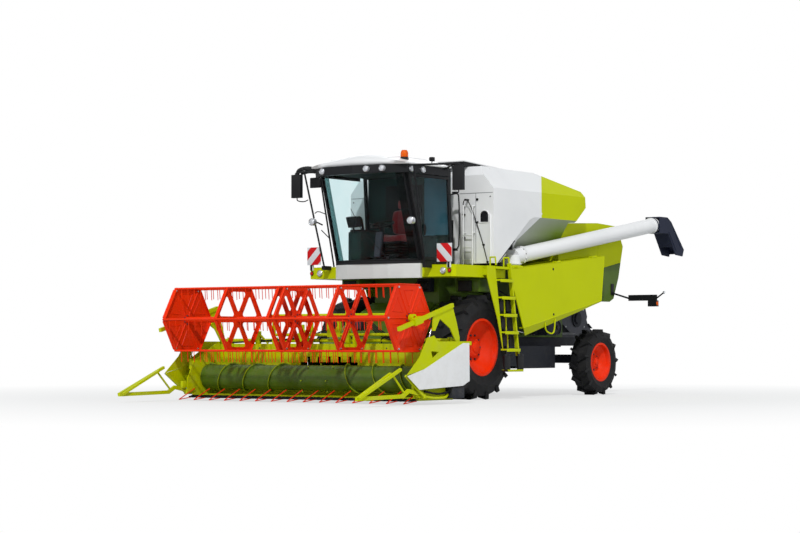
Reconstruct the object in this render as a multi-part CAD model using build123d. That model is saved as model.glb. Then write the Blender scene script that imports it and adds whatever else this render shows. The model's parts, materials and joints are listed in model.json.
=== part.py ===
from build123d import *
from math import cos, degrees, hypot, pi, radians, sin
import os

# Millimetres. Machine frame: front faces -Y, +X is the machine's left, +Z up,
# ground at z 0, front axle at y 0.
# Every node is moved by FRAME_Y at export, so the origin lands under the middle of the whole machine.
FRAME_Y = -850.0

# Wheels
FRONT_RADIUS = 841.0
FRONT_WIDTH = 640.0
FRONT_X = 1100.0
FRONT_RIM = 442.0
REAR_Y = 3786.0
REAR_RADIUS = 576.0
REAR_WIDTH = 380.0
REAR_X = 1190.0
REAR_RIM = 318.0
FRONT_LUG_COUNT = 15
REAR_LUG_COUNT = 13
FRONT_SIDE_COUNT = 24
REAR_SIDE_COUNT = 22
KINGPIN_X = 860.0
LUG_SLANT = 0.555
LUG_WIDTH = 0.036
STUB_RADIUS = 45.0
RUNNING_GAP = 0.05

# Side walls and panels
PANEL_X = 1500.0
PANEL_SHEET = 14.0
PANEL_TOP_FRONT = (560.0, 2110.0)
PANEL_TOP_REAR = (3640.0, 2430.0)
PANEL_LOW_REAR = (3535.0, 1640.0)
PANEL_LOW_FRONT = (1000.0, 1148.0)
PANEL_FOLD = 150.0
PANEL_FOLD_ANGLE = 25.0
BODY_X = 640.0
BODY_SHEET = 14.0

# Grain tank
TANK_TOP_X = 1130.0
TANK_CREASE_X = 1440.0
TANK_TOP_Z = 3790.0
TANK_FRONT_Y = 190.0
LID_FRONT_RISE = 95.0
LID_REAR_RISE = 28.0
LID_FRONT = (150.0, TANK_TOP_Z + LID_FRONT_RISE)
LID_HINGE = (1420.0, TANK_TOP_Z + LID_REAR_RISE)
LID_X = 900.0
LID_AXIS = (LID_HINGE[0] + 9, LID_HINGE[1] - 7)

# Cab
CAB_X = 850.0
GLASS = 6.0
SCREEN_BOTTOM_Y = -1010.0
SCREEN_TOP_Y = -1440.0
SCREEN_BOTTOM_Z = 2225.0
SCREEN_TOP_Z = 3660.0
SCREEN_BULGE = 130.0
DOOR_HINGE_Y = -985.0
DOOR_REAR_Y = -170.0
DOOR_BOTTOM_Z = 2235.0
DOOR_TOP_Z = 3585.0
VISOR_BOTTOM_Z = 3590.0
ROOF_Z = 3722.0

# Header
HEADER_X = 2200.0
DIVIDER_X = 2261.0
KNIFE_Y = -3000.0
KNIFE_Z = 60.0
AUGER_Y = -2620.0
AUGER_Z = 372.0
AUGER_CORE = 195.0
AUGER_FLIGHT = 232.0
FEEDER_PIVOT = (-330.0, 1400.0)
FEEDER_X = 600.0
TRUNNION = 40.0

# Lift cylinders
LIFT_X = 420.0
LIFT_BASE = (-250.0, FRONT_RADIUS - 151.0)
LIFT_EYE = (-1500.0, 370.0)
REEL_LIFT_X = 2262.0
REEL_LIFT_BASE = (-2980.0, 640.0)
REEL_LIFT_EYE = (-2757.0, 1120.0)
EYE_HALF = 40.0
PIN_RADIUS = 18.0

# Reel
REEL_Y = -3181.0
REEL_Z = 1276.0
REEL_CORNER = 566.0
REEL_END_X = 2150.0
REEL_TUBE = 45.0
TINE_LENGTH = 175.0
TINE_PITCH = 130.0
REEL_LIP = 8.0
SPOKE_HALF = 46.0
STAR_RIM = 62.0
STAR_FILLET = 34.0
ARM_X = 2302.0
ARM_PIVOT = (-2120.0, 950.0)

# Unloading auger
UNLOAD_ROOT = (1290.0, 1000.0, 2330.0)
UNLOAD_END = (1500.0, 5420.0, 3045.0)
UNLOAD_RADIUS = 130.0
TURRET_Z = 2190.0


def block(x0, x1, y0, y1, z0, z1):
    size = Box(x1 - x0, y1 - y0, z1 - z0)
    return Pos((x0 + x1) / 2, (y0 + y1) / 2, (z0 + z1) / 2) * size


def along_x(outline, x0, x1):
    face = Face(Wire.make_polygon([(x0, y, z) for y, z in outline]))
    return Solid.extrude(face, Vector(x1 - x0, 0, 0))


def along_y(outline, y0, y1):
    face = Face(Wire.make_polygon([(x, y0, z) for x, z in outline]))
    return Solid.extrude(face, Vector(0, y1 - y0, 0))


def along_z(outline, z0, z1):
    face = Face(Wire.make_polygon([(x, y, z0) for x, y in outline]))
    return Solid.extrude(face, Vector(0, 0, z1 - z0))


def rod(start, end, radius):
    start = Vector(*start)
    span = Vector(*end) - start
    return Solid.make_cylinder(radius, span.length, Plane(origin=start, z_dir=span))


def bar(start, end, wide, deep, side=(1, 0, 0)):
    start = Vector(*start)
    span = Vector(*end) - start
    plane = Plane(origin=start, x_dir=Vector(*side), z_dir=span)
    if abs(span.normalized().dot(Vector(*side))) > 0.01:
        across = Vector(*side) - span.normalized() * span.normalized().dot(Vector(*side))
        plane = Plane(origin=start, x_dir=across, z_dir=span)
    return plane * Box(wide, deep, span.length, align=(Align.CENTER, Align.CENTER, Align.MIN))


def ring(outer, inner, x0, x1, y, z):
    plane = Plane(origin=(x0, y, z), z_dir=(1, 0, 0))
    shell = Solid.make_cylinder(outer, x1 - x0, plane)
    if inner <= 0:
        return shell
    return shell - Solid.make_cylinder(inner, x1 - x0, plane)


def fused(pieces):
    pieces = list(pieces)
    if len(pieces) == 1:
        return pieces[0]
    joined = pieces[0].fuse(*pieces[1:])
    return Compound(list(joined)) if isinstance(joined, list) else joined


def grouped(pieces):
    solids = []
    for piece in pieces:
        for part in piece if isinstance(piece, list) else [piece]:
            solids.extend(part.solids())
    return Compound(solids)


def mirrored(shape):
    return shape.mirror(Plane.YZ)


def both_sides(shape):
    return [shape, mirrored(shape)]


def revolved_x(profile, y, z):
    """Turns an (x, radius) outline about the axle line through y, z."""
    face = Face(Wire.make_polygon([(x, y, z + r) for x, r in profile]))
    return Solid.revolve(face, 360, Axis((0, y, z), (1, 0, 0)))


# Wheels


def faceted_ring(profile, sides, y, z):
    """Carries an (x, radius) outline round the axle line in flat-sided steps."""
    step = 2 * pi / sides
    rings = []
    for index in range(sides):
        angle = step * (index + 0.5)
        rings.append([Vector(x, y + r * sin(angle), z + r * cos(angle)) for x, r in profile])
    faces = []
    for index in range(sides):
        here = rings[index]
        there = rings[(index + 1) % sides]
        for first in range(len(profile)):
            second = (first + 1) % len(profile)
            faces.append(Face(Wire.make_polygon([here[first], here[second], there[second], there[first]])))
    return Solid(Shell(faces))


def lug(y, radius, half, tread, side, turn):
    """One slanted bar of the tread, from near the middle to the shoulder."""
    slant = LUG_SLANT
    near = half * 0.02 / cos(slant)
    far = half * 0.94 / cos(slant)
    outline = [(near, tread - 12), (near + 14, radius), (far * 0.90, radius - 3), (far, tread - 84)]
    wide = radius * LUG_WIDTH
    bar_solid = Solid.extrude(Face(Wire.make_polygon([(-wide, t, h) for t, h in outline])),
                              Vector(2 * wide, 0, 0))
    bar_solid = Rot(0, 0, side * (degrees(slant) - 90)) * bar_solid
    centred = Pos(0, -(near + far) / 2 * sin(slant), 0) * bar_solid
    return Pos(0, y, radius) * Rot(-turn, 0, 0) * centred


def tyre(centre_x, y, radius, width, rim_radius, lugs, lug_height, sides):
    half = width / 2
    tread = radius - lug_height
    bead = half * 0.78 - 14
    span = tread - rim_radius
    outer = [(-bead, rim_radius), (-half * 0.96, rim_radius + span * 0.50), (-half * 0.80, tread - 20),
             (0, tread)]
    inner = [(half * 0.70, tread - 84), (half * 0.62, rim_radius)]
    profile = outer + [(-x, r) for x, r in reversed(outer[:-1])]
    profile += [(x, r) for x, r in reversed(inner)] + [(-x, r) for x, r in inner]
    blocks = []
    step = 360.0 / lugs
    for index in range(lugs):
        blocks.append(lug(y, radius, half, tread, 1, step * index))
        blocks.append(lug(y, radius, half, tread, -1, step * (index + 0.5)))
    return Pos(centre_x, 0, 0) * faceted_ring(profile, sides, y, radius).fuse(*blocks)


def rim(centre_x, y, radius, width, rim_radius, sides, dish, hub_radius, side, stub_end):
    """Painted steel wheel; side +1 faces the machine's left."""
    half = width / 2 * 0.78
    well = rim_radius - 34
    bead_seat = rim_radius * cos(pi / sides) - 0.5
    barrel = [
        (half, rim_radius + 20),
        (half, rim_radius - 16),
        (half - 60, well),
        (-half + 60, well),
        (-half, rim_radius - 16),
        (-half, rim_radius + 20),
        (-half + 14, rim_radius + 20),
        (-half + 14, bead_seat),
        (-half + 66, well + 14),
        (half - 66, well + 14),
        (half - 14, bead_seat),
        (half - 14, rim_radius + 20),
    ]
    disc = [
        (half - 80, well),
        (half - 80 + 16, well),
        (dish + 60, rim_radius * 0.66),
        (dish + 16, rim_radius * 0.52),
        (dish + 16, hub_radius),
        (dish, hub_radius),
        (dish, rim_radius * 0.54),
        (dish + 44, rim_radius * 0.68),
    ]
    hub = [
        (dish - 90, STUB_RADIUS + RUNNING_GAP),
        (dish - 90, hub_radius + 20),
        (dish + 40, hub_radius + 20),
        (dish + 70, hub_radius - 20),
        (dish + 70, 0),
        (stub_end, 0),
        (stub_end, STUB_RADIUS + RUNNING_GAP),
    ]
    pieces = []
    for profile in (barrel, disc, hub):
        pieces.append(revolved_x([(side * (centre_x + x), r) for x, r in profile], y, radius))
    return fused(pieces)


def deck_top(y):
    slope = (PANEL_TOP_REAR[1] - PANEL_TOP_FRONT[1]) / (PANEL_TOP_REAR[0] - PANEL_TOP_FRONT[0])
    return PANEL_TOP_FRONT[1] + slope * (y - PANEL_TOP_FRONT[0])


nodes = {}

wheel_table = (
    # name, side, x, y, radius, width, rim radius, lugs, lug height, flat sides, dish, hub radius
    ("front_left", 1, FRONT_X, 0.0, FRONT_RADIUS, FRONT_WIDTH, FRONT_RIM, FRONT_LUG_COUNT, 38,
     FRONT_SIDE_COUNT, 40.0, 150.0),
    ("front_right", -1, FRONT_X, 0.0, FRONT_RADIUS, FRONT_WIDTH, FRONT_RIM, FRONT_LUG_COUNT, 38,
     FRONT_SIDE_COUNT, 40.0, 150.0),
    ("rear_left", 1, REAR_X, REAR_Y, REAR_RADIUS, REAR_WIDTH, REAR_RIM, REAR_LUG_COUNT, 30,
     REAR_SIDE_COUNT, -20.0, 95.0),
    ("rear_right", -1, REAR_X, REAR_Y, REAR_RADIUS, REAR_WIDTH, REAR_RIM, REAR_LUG_COUNT, 30,
     REAR_SIDE_COUNT, -20.0, 95.0),
)
for name, side, x, y, radius, width, rim_radius, lugs, lug_height, sides, dish, hub in wheel_table:
    nodes["tyre_" + name] = tyre(side * x, y, radius, width, rim_radius, lugs, lug_height, sides)
    nodes["rim_" + name] = rim(x, y, radius, width, rim_radius, sides, dish, hub, side, dish + 30)

# Chassis

stub_front = FRONT_X + 40 + 25
stub_rear = REAR_X - 20 + 25
beam_x = 510.0
FRAME_BOTTOM = 860.0
FRAME_TOP = 1012.0
frame_pieces = [
    rod((-stub_front, 0, FRONT_RADIUS), (stub_front, 0, FRONT_RADIUS), STUB_RADIUS),
    block(-690, 690, -110, 110, FRONT_RADIUS - 100, FRAME_TOP),
    block(-beam_x, beam_x, REAR_Y - 90, REAR_Y + 90, FRAME_BOTTOM, FRAME_TOP - 2),
]
for side in (1, -1):
    for reach, radius in (((690, 800), 210), ((790, 1040), 110)):
        x0, x1 = sorted((side * reach[0], side * reach[1]))
        frame_pieces.append(ring(radius, 0, x0, x1, 0, FRONT_RADIUS))
    x0, x1 = sorted((side * beam_x, side * (beam_x + 100)))
    frame_pieces.append(block(x0, x1, -180, 4120, FRAME_BOTTOM, FRAME_TOP))
    for x in (LIFT_X - EYE_HALF - 7, LIFT_X + EYE_HALF + 7):
        frame_pieces.append(block(side * x - 6, side * x + 6, LIFT_BASE[0] - 45, -100, LIFT_BASE[1] - 45,
                                  FRONT_RADIUS - 80))
    x0, x1 = sorted((side * (LIFT_X - EYE_HALF - 12), side * (LIFT_X + EYE_HALF + 12)))
    frame_pieces.append(ring(PIN_RADIUS, 0, x0, x1, *LIFT_BASE))
for y in (900, 2300, 4020):
    frame_pieces.append(block(-beam_x, beam_x, y, y + 100, FRAME_BOTTOM + 20, FRAME_TOP - 22))
nodes["chassis_frame"] = fused(frame_pieces)

BODY_FRONT_Y = -205.0
BODY_REAR_Y = 3640.0
BODY_BOTTOM_Z = FRAME_TOP
body_outline = [
    (BODY_FRONT_Y, BODY_BOTTOM_Z), (BODY_FRONT_Y, 2090), (600, deck_top(600) - 14),
    (BODY_REAR_Y, deck_top(BODY_REAR_Y) - 14), (BODY_REAR_Y, BODY_BOTTOM_Z),
]
inner_outline = [
    (BODY_FRONT_Y + 14, BODY_BOTTOM_Z + 14), (BODY_FRONT_Y + 14, 2076), (600, deck_top(600) - 28),
    (BODY_REAR_Y - 14, deck_top(BODY_REAR_Y) - 28), (BODY_REAR_Y - 14, BODY_BOTTOM_Z + 14),
]
body = along_x(body_outline, -BODY_X, BODY_X) - along_x(inner_outline, -BODY_X + BODY_SHEET,
                                                        BODY_X - BODY_SHEET)
body = body - block(-560, 560, BODY_FRONT_Y - 5, BODY_FRONT_Y + 20, 1190, 1500)
pivot_outline = [(-400, 1340), (-400, 1460), (BODY_FRONT_Y, 1570), (60, 1570), (60, 1240),
                 (BODY_FRONT_Y, 1240)]
pivot_plates = both_sides(along_x(pivot_outline, BODY_X, BODY_X + 24)
                          - ring(TRUNNION + RUNNING_GAP, 0, 600, 700, *FEEDER_PIVOT))
nodes["threshing_body"] = fused([body, block(-BODY_X, BODY_X, 200, 560, 2088, 2200)] + pivot_plates)

underbody = [
    block(-BODY_X, BODY_X, 1640, 2980, 480, 860),
    block(BODY_X, 940, 1640, 2900, 480, 860),
    block(-940, -BODY_X, 1640, 2700, 480, 860),
    block(BODY_X, 960, 1150, 1660, 520, 1180),
    block(-960, -BODY_X, 1150, 1660, 620, 1180),
]
nodes["underbody_boxes"] = fused(underbody)

# Rear axle

axle_z = REAR_RADIUS
rear_axle = [
    block(-KINGPIN_X + 110, KINGPIN_X - 110, REAR_Y - 60, REAR_Y + 60, axle_z - 20, axle_z + 130),
    block(-90, 90, REAR_Y - 90, REAR_Y + 90, axle_z + 80, FRAME_BOTTOM),
]
for side in (1, -1):
    inner = side * (KINGPIN_X - 115)
    outer = side * (KINGPIN_X + 60)
    x0, x1 = min(inner, outer), max(inner, outer)
    rear_axle.append(block(x0, x1, REAR_Y - 60, REAR_Y + 60, axle_z + 90, axle_z + 130))
    rear_axle.append(block(x0, x1, REAR_Y - 60, REAR_Y + 60, axle_z - 130, axle_z - 90))
    rear_axle.append(block(inner - 20, inner + 20, REAR_Y - 60, REAR_Y + 60, axle_z - 130, axle_z + 130))
kingpin_bore = [rod((side * KINGPIN_X, REAR_Y, axle_z - 140), (side * KINGPIN_X, REAR_Y, axle_z + 140),
                    30.0)
                for side in (1, -1)]
nodes["rear_axle"] = fused(rear_axle) - kingpin_bore[0] - kingpin_bore[1]

for name, side in (("left", 1), ("right", -1)):
    pin_x = side * KINGPIN_X
    knuckle = [
        rod((pin_x, REAR_Y, axle_z - 128), (pin_x, REAR_Y, axle_z + 128), 29.95),
        block(pin_x - 52, pin_x + 52, REAR_Y - 52, REAR_Y + 52, axle_z - 84, axle_z + 84),
        rod((pin_x, REAR_Y, axle_z), (side * stub_rear, REAR_Y, axle_z), STUB_RADIUS),
        rod((pin_x, REAR_Y, axle_z), (side * (KINGPIN_X + 130), REAR_Y, axle_z), 66),
        block(pin_x - 30, pin_x + 30, REAR_Y + 40, REAR_Y + 230, axle_z - 40, axle_z - 10),
    ]
    nodes["knuckle_" + name] = fused(knuckle)

# Side panels

panel_outline = [
    (PANEL_TOP_FRONT[0], PANEL_TOP_FRONT[1] - 6), (PANEL_TOP_REAR[0], PANEL_TOP_REAR[1] - 6),
    PANEL_LOW_REAR,
    PANEL_LOW_FRONT,
]


HINGE_X = PANEL_X - PANEL_SHEET / 2
HINGE_RISE = 4.0
HINGE_STATIONS = (900.0, 2100.0, 3300.0)
HINGE_PIN = 7.0
HINGE_TUBE = 14.0


def on_hinge(side, y):
    return (side * HINGE_X, y, deck_top(y) + HINGE_RISE)


def side_panel(side):
    sheet = along_x(panel_outline, PANEL_X - PANEL_SHEET, PANEL_X)
    tubes = []
    for y in HINGE_STATIONS:
        tubes.append(rod(on_hinge(1, y - 70), on_hinge(1, y + 70), HINGE_TUBE))
    sheet = fused([sheet] + tubes)
    for y in HINGE_STATIONS:
        sheet = sheet - rod(on_hinge(1, y - 80), on_hinge(1, y + 80), HINGE_PIN + RUNNING_GAP)
    lip = bar((PANEL_X - 50, PANEL_LOW_FRONT[0] + 20, PANEL_LOW_FRONT[1] + 8),
              (PANEL_X - 50, PANEL_LOW_REAR[0], PANEL_LOW_REAR[1] + 8), 100, 14)
    front_y, front_z = PANEL_LOW_FRONT
    rear_y, rear_z = PANEL_LOW_REAR
    fold_outline = [(front_y, front_z + 4), (rear_y, rear_z + 4), (rear_y - 5, rear_z - 16),
                    (front_y + 150, front_z - PANEL_FOLD + 20)]
    fold_line = Axis((PANEL_X - 2, front_y, front_z), (0, rear_y - front_y, rear_z - front_z))
    fold = along_x(fold_outline, PANEL_X - PANEL_SHEET, PANEL_X - 2).rotate(fold_line, PANEL_FOLD_ANGLE)
    shape = fused([sheet, lip, fold])
    return shape if side > 0 else mirrored(shape)


nodes["side_panel_left"] = side_panel(1)
nodes["side_panel_right"] = side_panel(-1)

# Body above the panels: decks, hood and tank

deck_outline = [
    (600, deck_top(600) - 14), (600, deck_top(600)), (BODY_REAR_Y, deck_top(BODY_REAR_Y)),
    (BODY_REAR_Y, deck_top(BODY_REAR_Y) - 14),
]
decks = [along_x(deck_outline, -PANEL_X + 38, PANEL_X - 38)]
for side in (1, -1):
    for y in HINGE_STATIONS:
        decks.append(rod(on_hinge(side, y - 86), on_hinge(side, y + 86), HINGE_PIN))
        for end in (y - 86, y + 76):
            x0, x1 = sorted((side * (PANEL_X - 60), side * (HINGE_X + 3)))
            step = deck_top(end + 10) - deck_top(end)
            decks.append(along_x([(end, deck_top(end)), (end + 10, deck_top(end) + step),
                                  (end + 10, deck_top(end) + 22 + step), (end, deck_top(end) + 22)], x0,
                                  x1))
decks.append(rod((UNLOAD_ROOT[0], UNLOAD_ROOT[1], 2146), (UNLOAD_ROOT[0], UNLOAD_ROOT[1], TURRET_Z - 0.1),
                 UNLOAD_RADIUS + 12))
nodes["side_decks"] = fused(decks)
HOOD_X = 1220.0


def hood_top(y):
    return 2960 + 60 * (y - 2560) / 1320


hood_outer = [
    (2560, deck_top(2560)), (2560, 2960), (3880, 3020), (4570, 2990), (4780, 2640), (4620, 2080),
    (4440, 1700),
    (4300, 1640), (BODY_REAR_Y, 1640), (BODY_REAR_Y, deck_top(BODY_REAR_Y)),
]
hood_inner = [
    (2574, 2300), (2574, 2946), (3880, 3005), (4560, 2976), (4764, 2640), (4606, 2086), (4428, 1710),
    (4290, 1600), (BODY_REAR_Y + 14, 1600), (BODY_REAR_Y + 14, 2300),
]
hood = along_x(hood_outer, -HOOD_X, HOOD_X) - along_x(hood_inner, -HOOD_X + 14, HOOD_X - 14)
HOOD_SPLIT = ((3600.0, 2140.0), (4900.0, 2380.0))
lower_half = along_x([HOOD_SPLIT[0], HOOD_SPLIT[1], (4900, 1500), (3600, 1500)], -HOOD_X - 10, HOOD_X + 10)
nodes["rear_hood"] = hood - lower_half
nodes["rear_hood_lower"] = hood & lower_half
nodes["engine_block"] = along_x(
    [(2990, deck_top(2990)), (2990, 2900), (3620, 2900), (3620, deck_top(3620))], -480, 480)

TANK_FLOOR_Z = 2200.0
tank_section = [
    (-TANK_TOP_X, TANK_TOP_Z), (TANK_TOP_X, TANK_TOP_Z), (TANK_CREASE_X, 3420), (TANK_CREASE_X, 3000),
    (1030, 2300), (1030, TANK_FLOOR_Z), (-1030, TANK_FLOOR_Z), (-1030, 2300), (-TANK_CREASE_X, 3000),
    (-TANK_CREASE_X, 3420),
]
section_inner = [
    (-TANK_TOP_X + 6, TANK_TOP_Z - 12), (TANK_TOP_X - 6, TANK_TOP_Z - 12), (TANK_CREASE_X - 12, 3414),
    (TANK_CREASE_X - 12, 3004), (1018, 2304), (1018, TANK_FLOOR_Z + 12), (-1018, TANK_FLOOR_Z + 12),
    (-1018, 2304), (-TANK_CREASE_X + 12, 3004), (-TANK_CREASE_X + 12, 3414),
]


def hollow(side_outline, inset_outline, y0, y1):
    outer = along_y(tank_section, y0, y1) & along_x(side_outline, -1500, 1500)
    inner = along_y(section_inner, y0, y1) & along_x(inset_outline, -1500, 1500)
    return outer - inner


whole_side = [
    (TANK_FRONT_Y, TANK_FLOOR_Z), (TANK_FRONT_Y, 3640), (290, TANK_TOP_Z), (1890, 3780), (3080, 3520),
    (3110, 3240),
    (2760, hood_top(2760)), (2560, hood_top(2560)), (2560, 2420), (1300, 2340), (1250, TANK_FLOOR_Z),
]
whole_inner = [
    (TANK_FRONT_Y + 12, TANK_FLOOR_Z + 12), (TANK_FRONT_Y + 12, 3636), (296, TANK_TOP_Z - 12), (1888, 3768),
    (3069, 3510), (3098, 3246), (2756, hood_top(2756) + 12), (2548, hood_top(2548) + 12), (2548, 2432),
    (1292, 2352),
    (1242, TANK_FLOOR_Z + 12),
]
tank = hollow(whole_side, whole_inner, 100, 3200)
tank = tank - block(-LID_X + 40, LID_X - 40, 320, 1380, 3700, 3900)
split_line = [(915, 3900), (915, 3790), (1130, 3430), (1690, 3070), (1250, 2620), (1250, 2000),
              (-500, 2000), (-500, 3900)]
splitter = along_x(split_line, -1600, 1600)
cheek_outline = [(TANK_FRONT_Y, TANK_FLOOR_Z), (TANK_FRONT_Y, 3200), (1400, 3200), (1640, 3072),
                 (1290, 2950), (300, TANK_FLOOR_Z)]
cheeks = []
for side in (1, -1):
    x0, x1 = sorted((side * (TANK_CREASE_X - 12), side * TANK_CREASE_X))
    cheeks.append(along_x(cheek_outline, x0, x1))
    x0, x1 = sorted((side * 1000, side * TANK_CREASE_X))
    niche = block(side * 1215 - 100, side * 1215 + 100, TANK_FRONT_Y - 5, TANK_FRONT_Y + 17, 2860, 3060)
    front_wall = block(x0, x1, TANK_FRONT_Y, TANK_FRONT_Y + 12, TANK_FLOOR_Z, 3100)
    cheeks.append(front_wall - niche)
nodes["tank_front"] = fused([tank & splitter] + cheeks)
lid_brackets = []
for x in (-600, 600):
    lid_brackets.append(ring(6, 0, x - 76, x + 76, *LID_AXIS))
    for end in (x - 71, x + 71):
        lid_brackets.append(block(end - 5, end + 5, LID_AXIS[0] - 7, LID_AXIS[0] + 14, TANK_TOP_Z - 8,
                                  LID_AXIS[1] + 10))
nodes["tank_rear"] = fused([tank - splitter] + lid_brackets)

lid_plate = [LID_FRONT, (LID_HINGE[0], LID_HINGE[1]), (LID_HINGE[0], LID_HINGE[1] - 14),
             (LID_FRONT[0], LID_FRONT[1] - 14)]
lid_tubes = [ring(12, 0, x - 60, x + 60, *LID_AXIS) for x in (-600, 600)]
lid_bores = ring(6 + RUNNING_GAP, 0, -700, 700, *LID_AXIS)
lid = fused([along_x(lid_plate, -LID_X, LID_X)] + lid_tubes) - lid_bores
for x in (-600, 600):
    for notch in (x - 71, x + 71):
        lid = lid - block(notch - 10, notch + 10, LID_AXIS[0] - 24, LID_AXIS[0], LID_AXIS[1] - 30,
                          LID_AXIS[1] + 30)
nodes["tank_lid"] = lid
skirt_foot = TANK_TOP_Z + 6
skirt_outline = [
    (LID_FRONT[0], LID_FRONT[1] - 14), (LID_HINGE[0] - 60, LID_HINGE[1] - 11),
    (LID_HINGE[0] - 60, skirt_foot),
    (320, skirt_foot), (LID_FRONT[0], skirt_foot),
]
skirt = [along_x(skirt_outline, LID_X - 22, LID_X - 10), along_x(skirt_outline, -LID_X + 10, -LID_X + 22)]
skirt.append(block(-LID_X + 10, LID_X - 10, LID_FRONT[0], LID_FRONT[0] + 12, skirt_foot, LID_FRONT[1] - 15))
nodes["tank_lid_skirt"] = fused(skirt)

# Cab


def bow(y, z, half_width, bulge, inset):
    """A bowed strip outline in plan: front arc, then the inner arc set back by the glass."""
    outer = ThreePointArc((-half_width, y, z), (0, y - bulge, z), (half_width, y, z))
    inner = ThreePointArc((half_width, y + inset, z), (0, y - bulge + inset, z),
                          (-half_width, y + inset, z))
    left = Line((half_width, y, z), (half_width, y + inset, z))
    right = Line((-half_width, y + inset, z), (-half_width, y, z))
    return Face(Wire([outer.edge(), left.edge(), inner.edge(), right.edge()]))


def bowed_loft(y0, z0, y1, z1, half_width, bulge, thick):
    lower = bow(y0, z0, half_width, bulge, thick)
    upper = bow(y1, z1, half_width, bulge, thick)
    return Solid.make_loft([lower.outer_wire(), upper.outer_wire()], True)


nodes["windscreen"] = bowed_loft(SCREEN_BOTTOM_Y, SCREEN_BOTTOM_Z, SCREEN_TOP_Y, SCREEN_TOP_Z, CAB_X - 30,
                                 SCREEN_BULGE, GLASS)

CAB_REAR_Y = -90.0
DOOR_HINGES = (2420.0, 2900.0, 3400.0)


def door_hinge_y(z):
    return DOOR_REAR_Y + 10 - 80 * (z - DOOR_BOTTOM_Z) / (DOOR_TOP_Z - DOOR_BOTTOM_Z)


def on_door_hinge(z):
    return (CAB_X + 20, door_hinge_y(z), z)


floor_plan = [
    (-CAB_X, CAB_REAR_Y), (-CAB_X, -1000), (-560, -1080), (-280, -1135), (0, -1150), (280, -1135),
    (560, -1080),
    (CAB_X, -1000), (CAB_X, CAB_REAR_Y),
]
SILL_Z = SCREEN_BOTTOM_Z
cab = [along_z(floor_plan, SILL_Z - 49, SILL_Z)]
post_foot = (CAB_X - 18, SCREEN_BOTTOM_Y + 40, SILL_Z - 10)
post_head = (CAB_X - 18, SCREEN_TOP_Y + 40, SCREEN_TOP_Z + 2)
rear_foot = (CAB_X - 20, DOOR_REAR_Y + 47, SILL_Z - 10)
rear_head = (CAB_X - 20, DOOR_REAR_Y - 58, SCREEN_TOP_Z + 2)
for side in (1, -1):
    for foot, head, wide, deep in ((post_foot, post_head, 36, 50), (rear_foot, rear_head, 40, 60)):
        cab.append(bar((side * foot[0], foot[1], foot[2]), (side * head[0], head[1], head[2]), wide, deep))
cab.append(block(-CAB_X, CAB_X, CAB_REAR_Y - 14, CAB_REAR_Y, SILL_Z - 10, 2900))
cab.append(bar((-CAB_X + 2, -215, 3640), (CAB_X - 2, -215, 3640), 44, 44, side=(0, 1, 0)))
cab.append(block(828, 850, -1272, -1150, 2825, 2855))
cab_solid = fused(cab) - block(-1000, 1000, -2000, 0, SCREEN_TOP_Z + 2, 3900)
door_pins = []
for z in DOOR_HINGES:
    door_pins.append(rod(on_door_hinge(z - 57), on_door_hinge(z + 57), 6))
    for end in (z - 56, z + 50):
        y = door_hinge_y(end)
        door_pins.append(block(CAB_X - 20, CAB_X + 28, y - 8, y + 14, end, end + 6))
nodes["cab_frame"] = fused([cab_solid] + door_pins)

lamp_table = (
    ((270, -1700, 3656), (0, 1, 0)), ((560, -1672, 3656), (0, 1, 0)), ((-640, -1650, 3656), (0, 1, 0)),
    ((938, -1380, 3650), (-1, 0, 0)), ((938, -1060, 3650), (-1, 0, 0)),
    ((-938, -1380, 3650), (1, 0, 0)), ((-938, -1060, 3650), (1, 0, 0)),
)
PLATFORM_FRONT_Y = -962.0
front_lamp_table = (
    # place, radius, depth
    ((1250, PLATFORM_FRONT_Y - 16, 2052), 52, 16), ((-1200, PLATFORM_FRONT_Y - 16, 2052), 52, 16),
    ((870, -1332, 2840), 60, 60), ((-1129, -1286, 2880), 60, 62),
)
lamps = []
for place, inward in lamp_table:
    lamps.append(Solid.make_cylinder(50, 36, Plane(origin=place, z_dir=inward)))
front_lamps = []
for place, radius, depth in front_lamp_table:
    front_lamps.append(Solid.make_cylinder(radius, depth, Plane(origin=place, z_dir=(0, 1, 0))))
nodes["lamps"] = grouped(lamps + front_lamps)

visor_plan = [(-920, -270), (-920, -1450), (-600, -1640), (0, -1690), (600, -1640), (920, -1450),
              (920, -270)]
visor_plate = along_z(visor_plan, SCREEN_TOP_Z + 2, ROOF_Z)
lip_inner = [(900, -260), (900, -1430), (840, -1466), (560, -1535), (0, -1595), (-560, -1535),
             (-840, -1466), (-900, -1430), (-900, -260)]
visor_lip = along_z(visor_plan, VISOR_BOTTOM_Z, SCREEN_TOP_Z + 2) - along_z(lip_inner, VISOR_BOTTOM_Z - 5,
                                                                            SCREEN_TOP_Z + 5)
visor = fused([visor_plate, visor_lip])
for lamp in lamps:
    visor = visor - lamp
nodes["cab_visor"] = visor

ROOF_X = 935.0
ROOF_FRONT_Y = -1650.0
ROOF_REAR_Y = -270.0
ROOF_RISE = 172.0


def roof_side_face():
    """Side view of the roof: a short upright nose, then one long arc over the top."""
    nose = (-ROOF_X, ROOF_FRONT_Y, ROOF_Z + 28)
    crown = (-ROOF_X, -1050, ROOF_Z + ROOF_RISE - 8)
    tail = (-ROOF_X, ROOF_REAR_Y, ROOF_Z + ROOF_RISE - 34)
    low_tail = (-ROOF_X, ROOF_REAR_Y, ROOF_Z)
    low_nose = (-ROOF_X, ROOF_FRONT_Y, ROOF_Z)
    edges = [ThreePointArc(nose, crown, tail), Line(tail, low_tail), Line(low_tail, low_nose),
             Line(low_nose, nose)]
    return Face(Wire([piece.edge() for piece in edges]))


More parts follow.
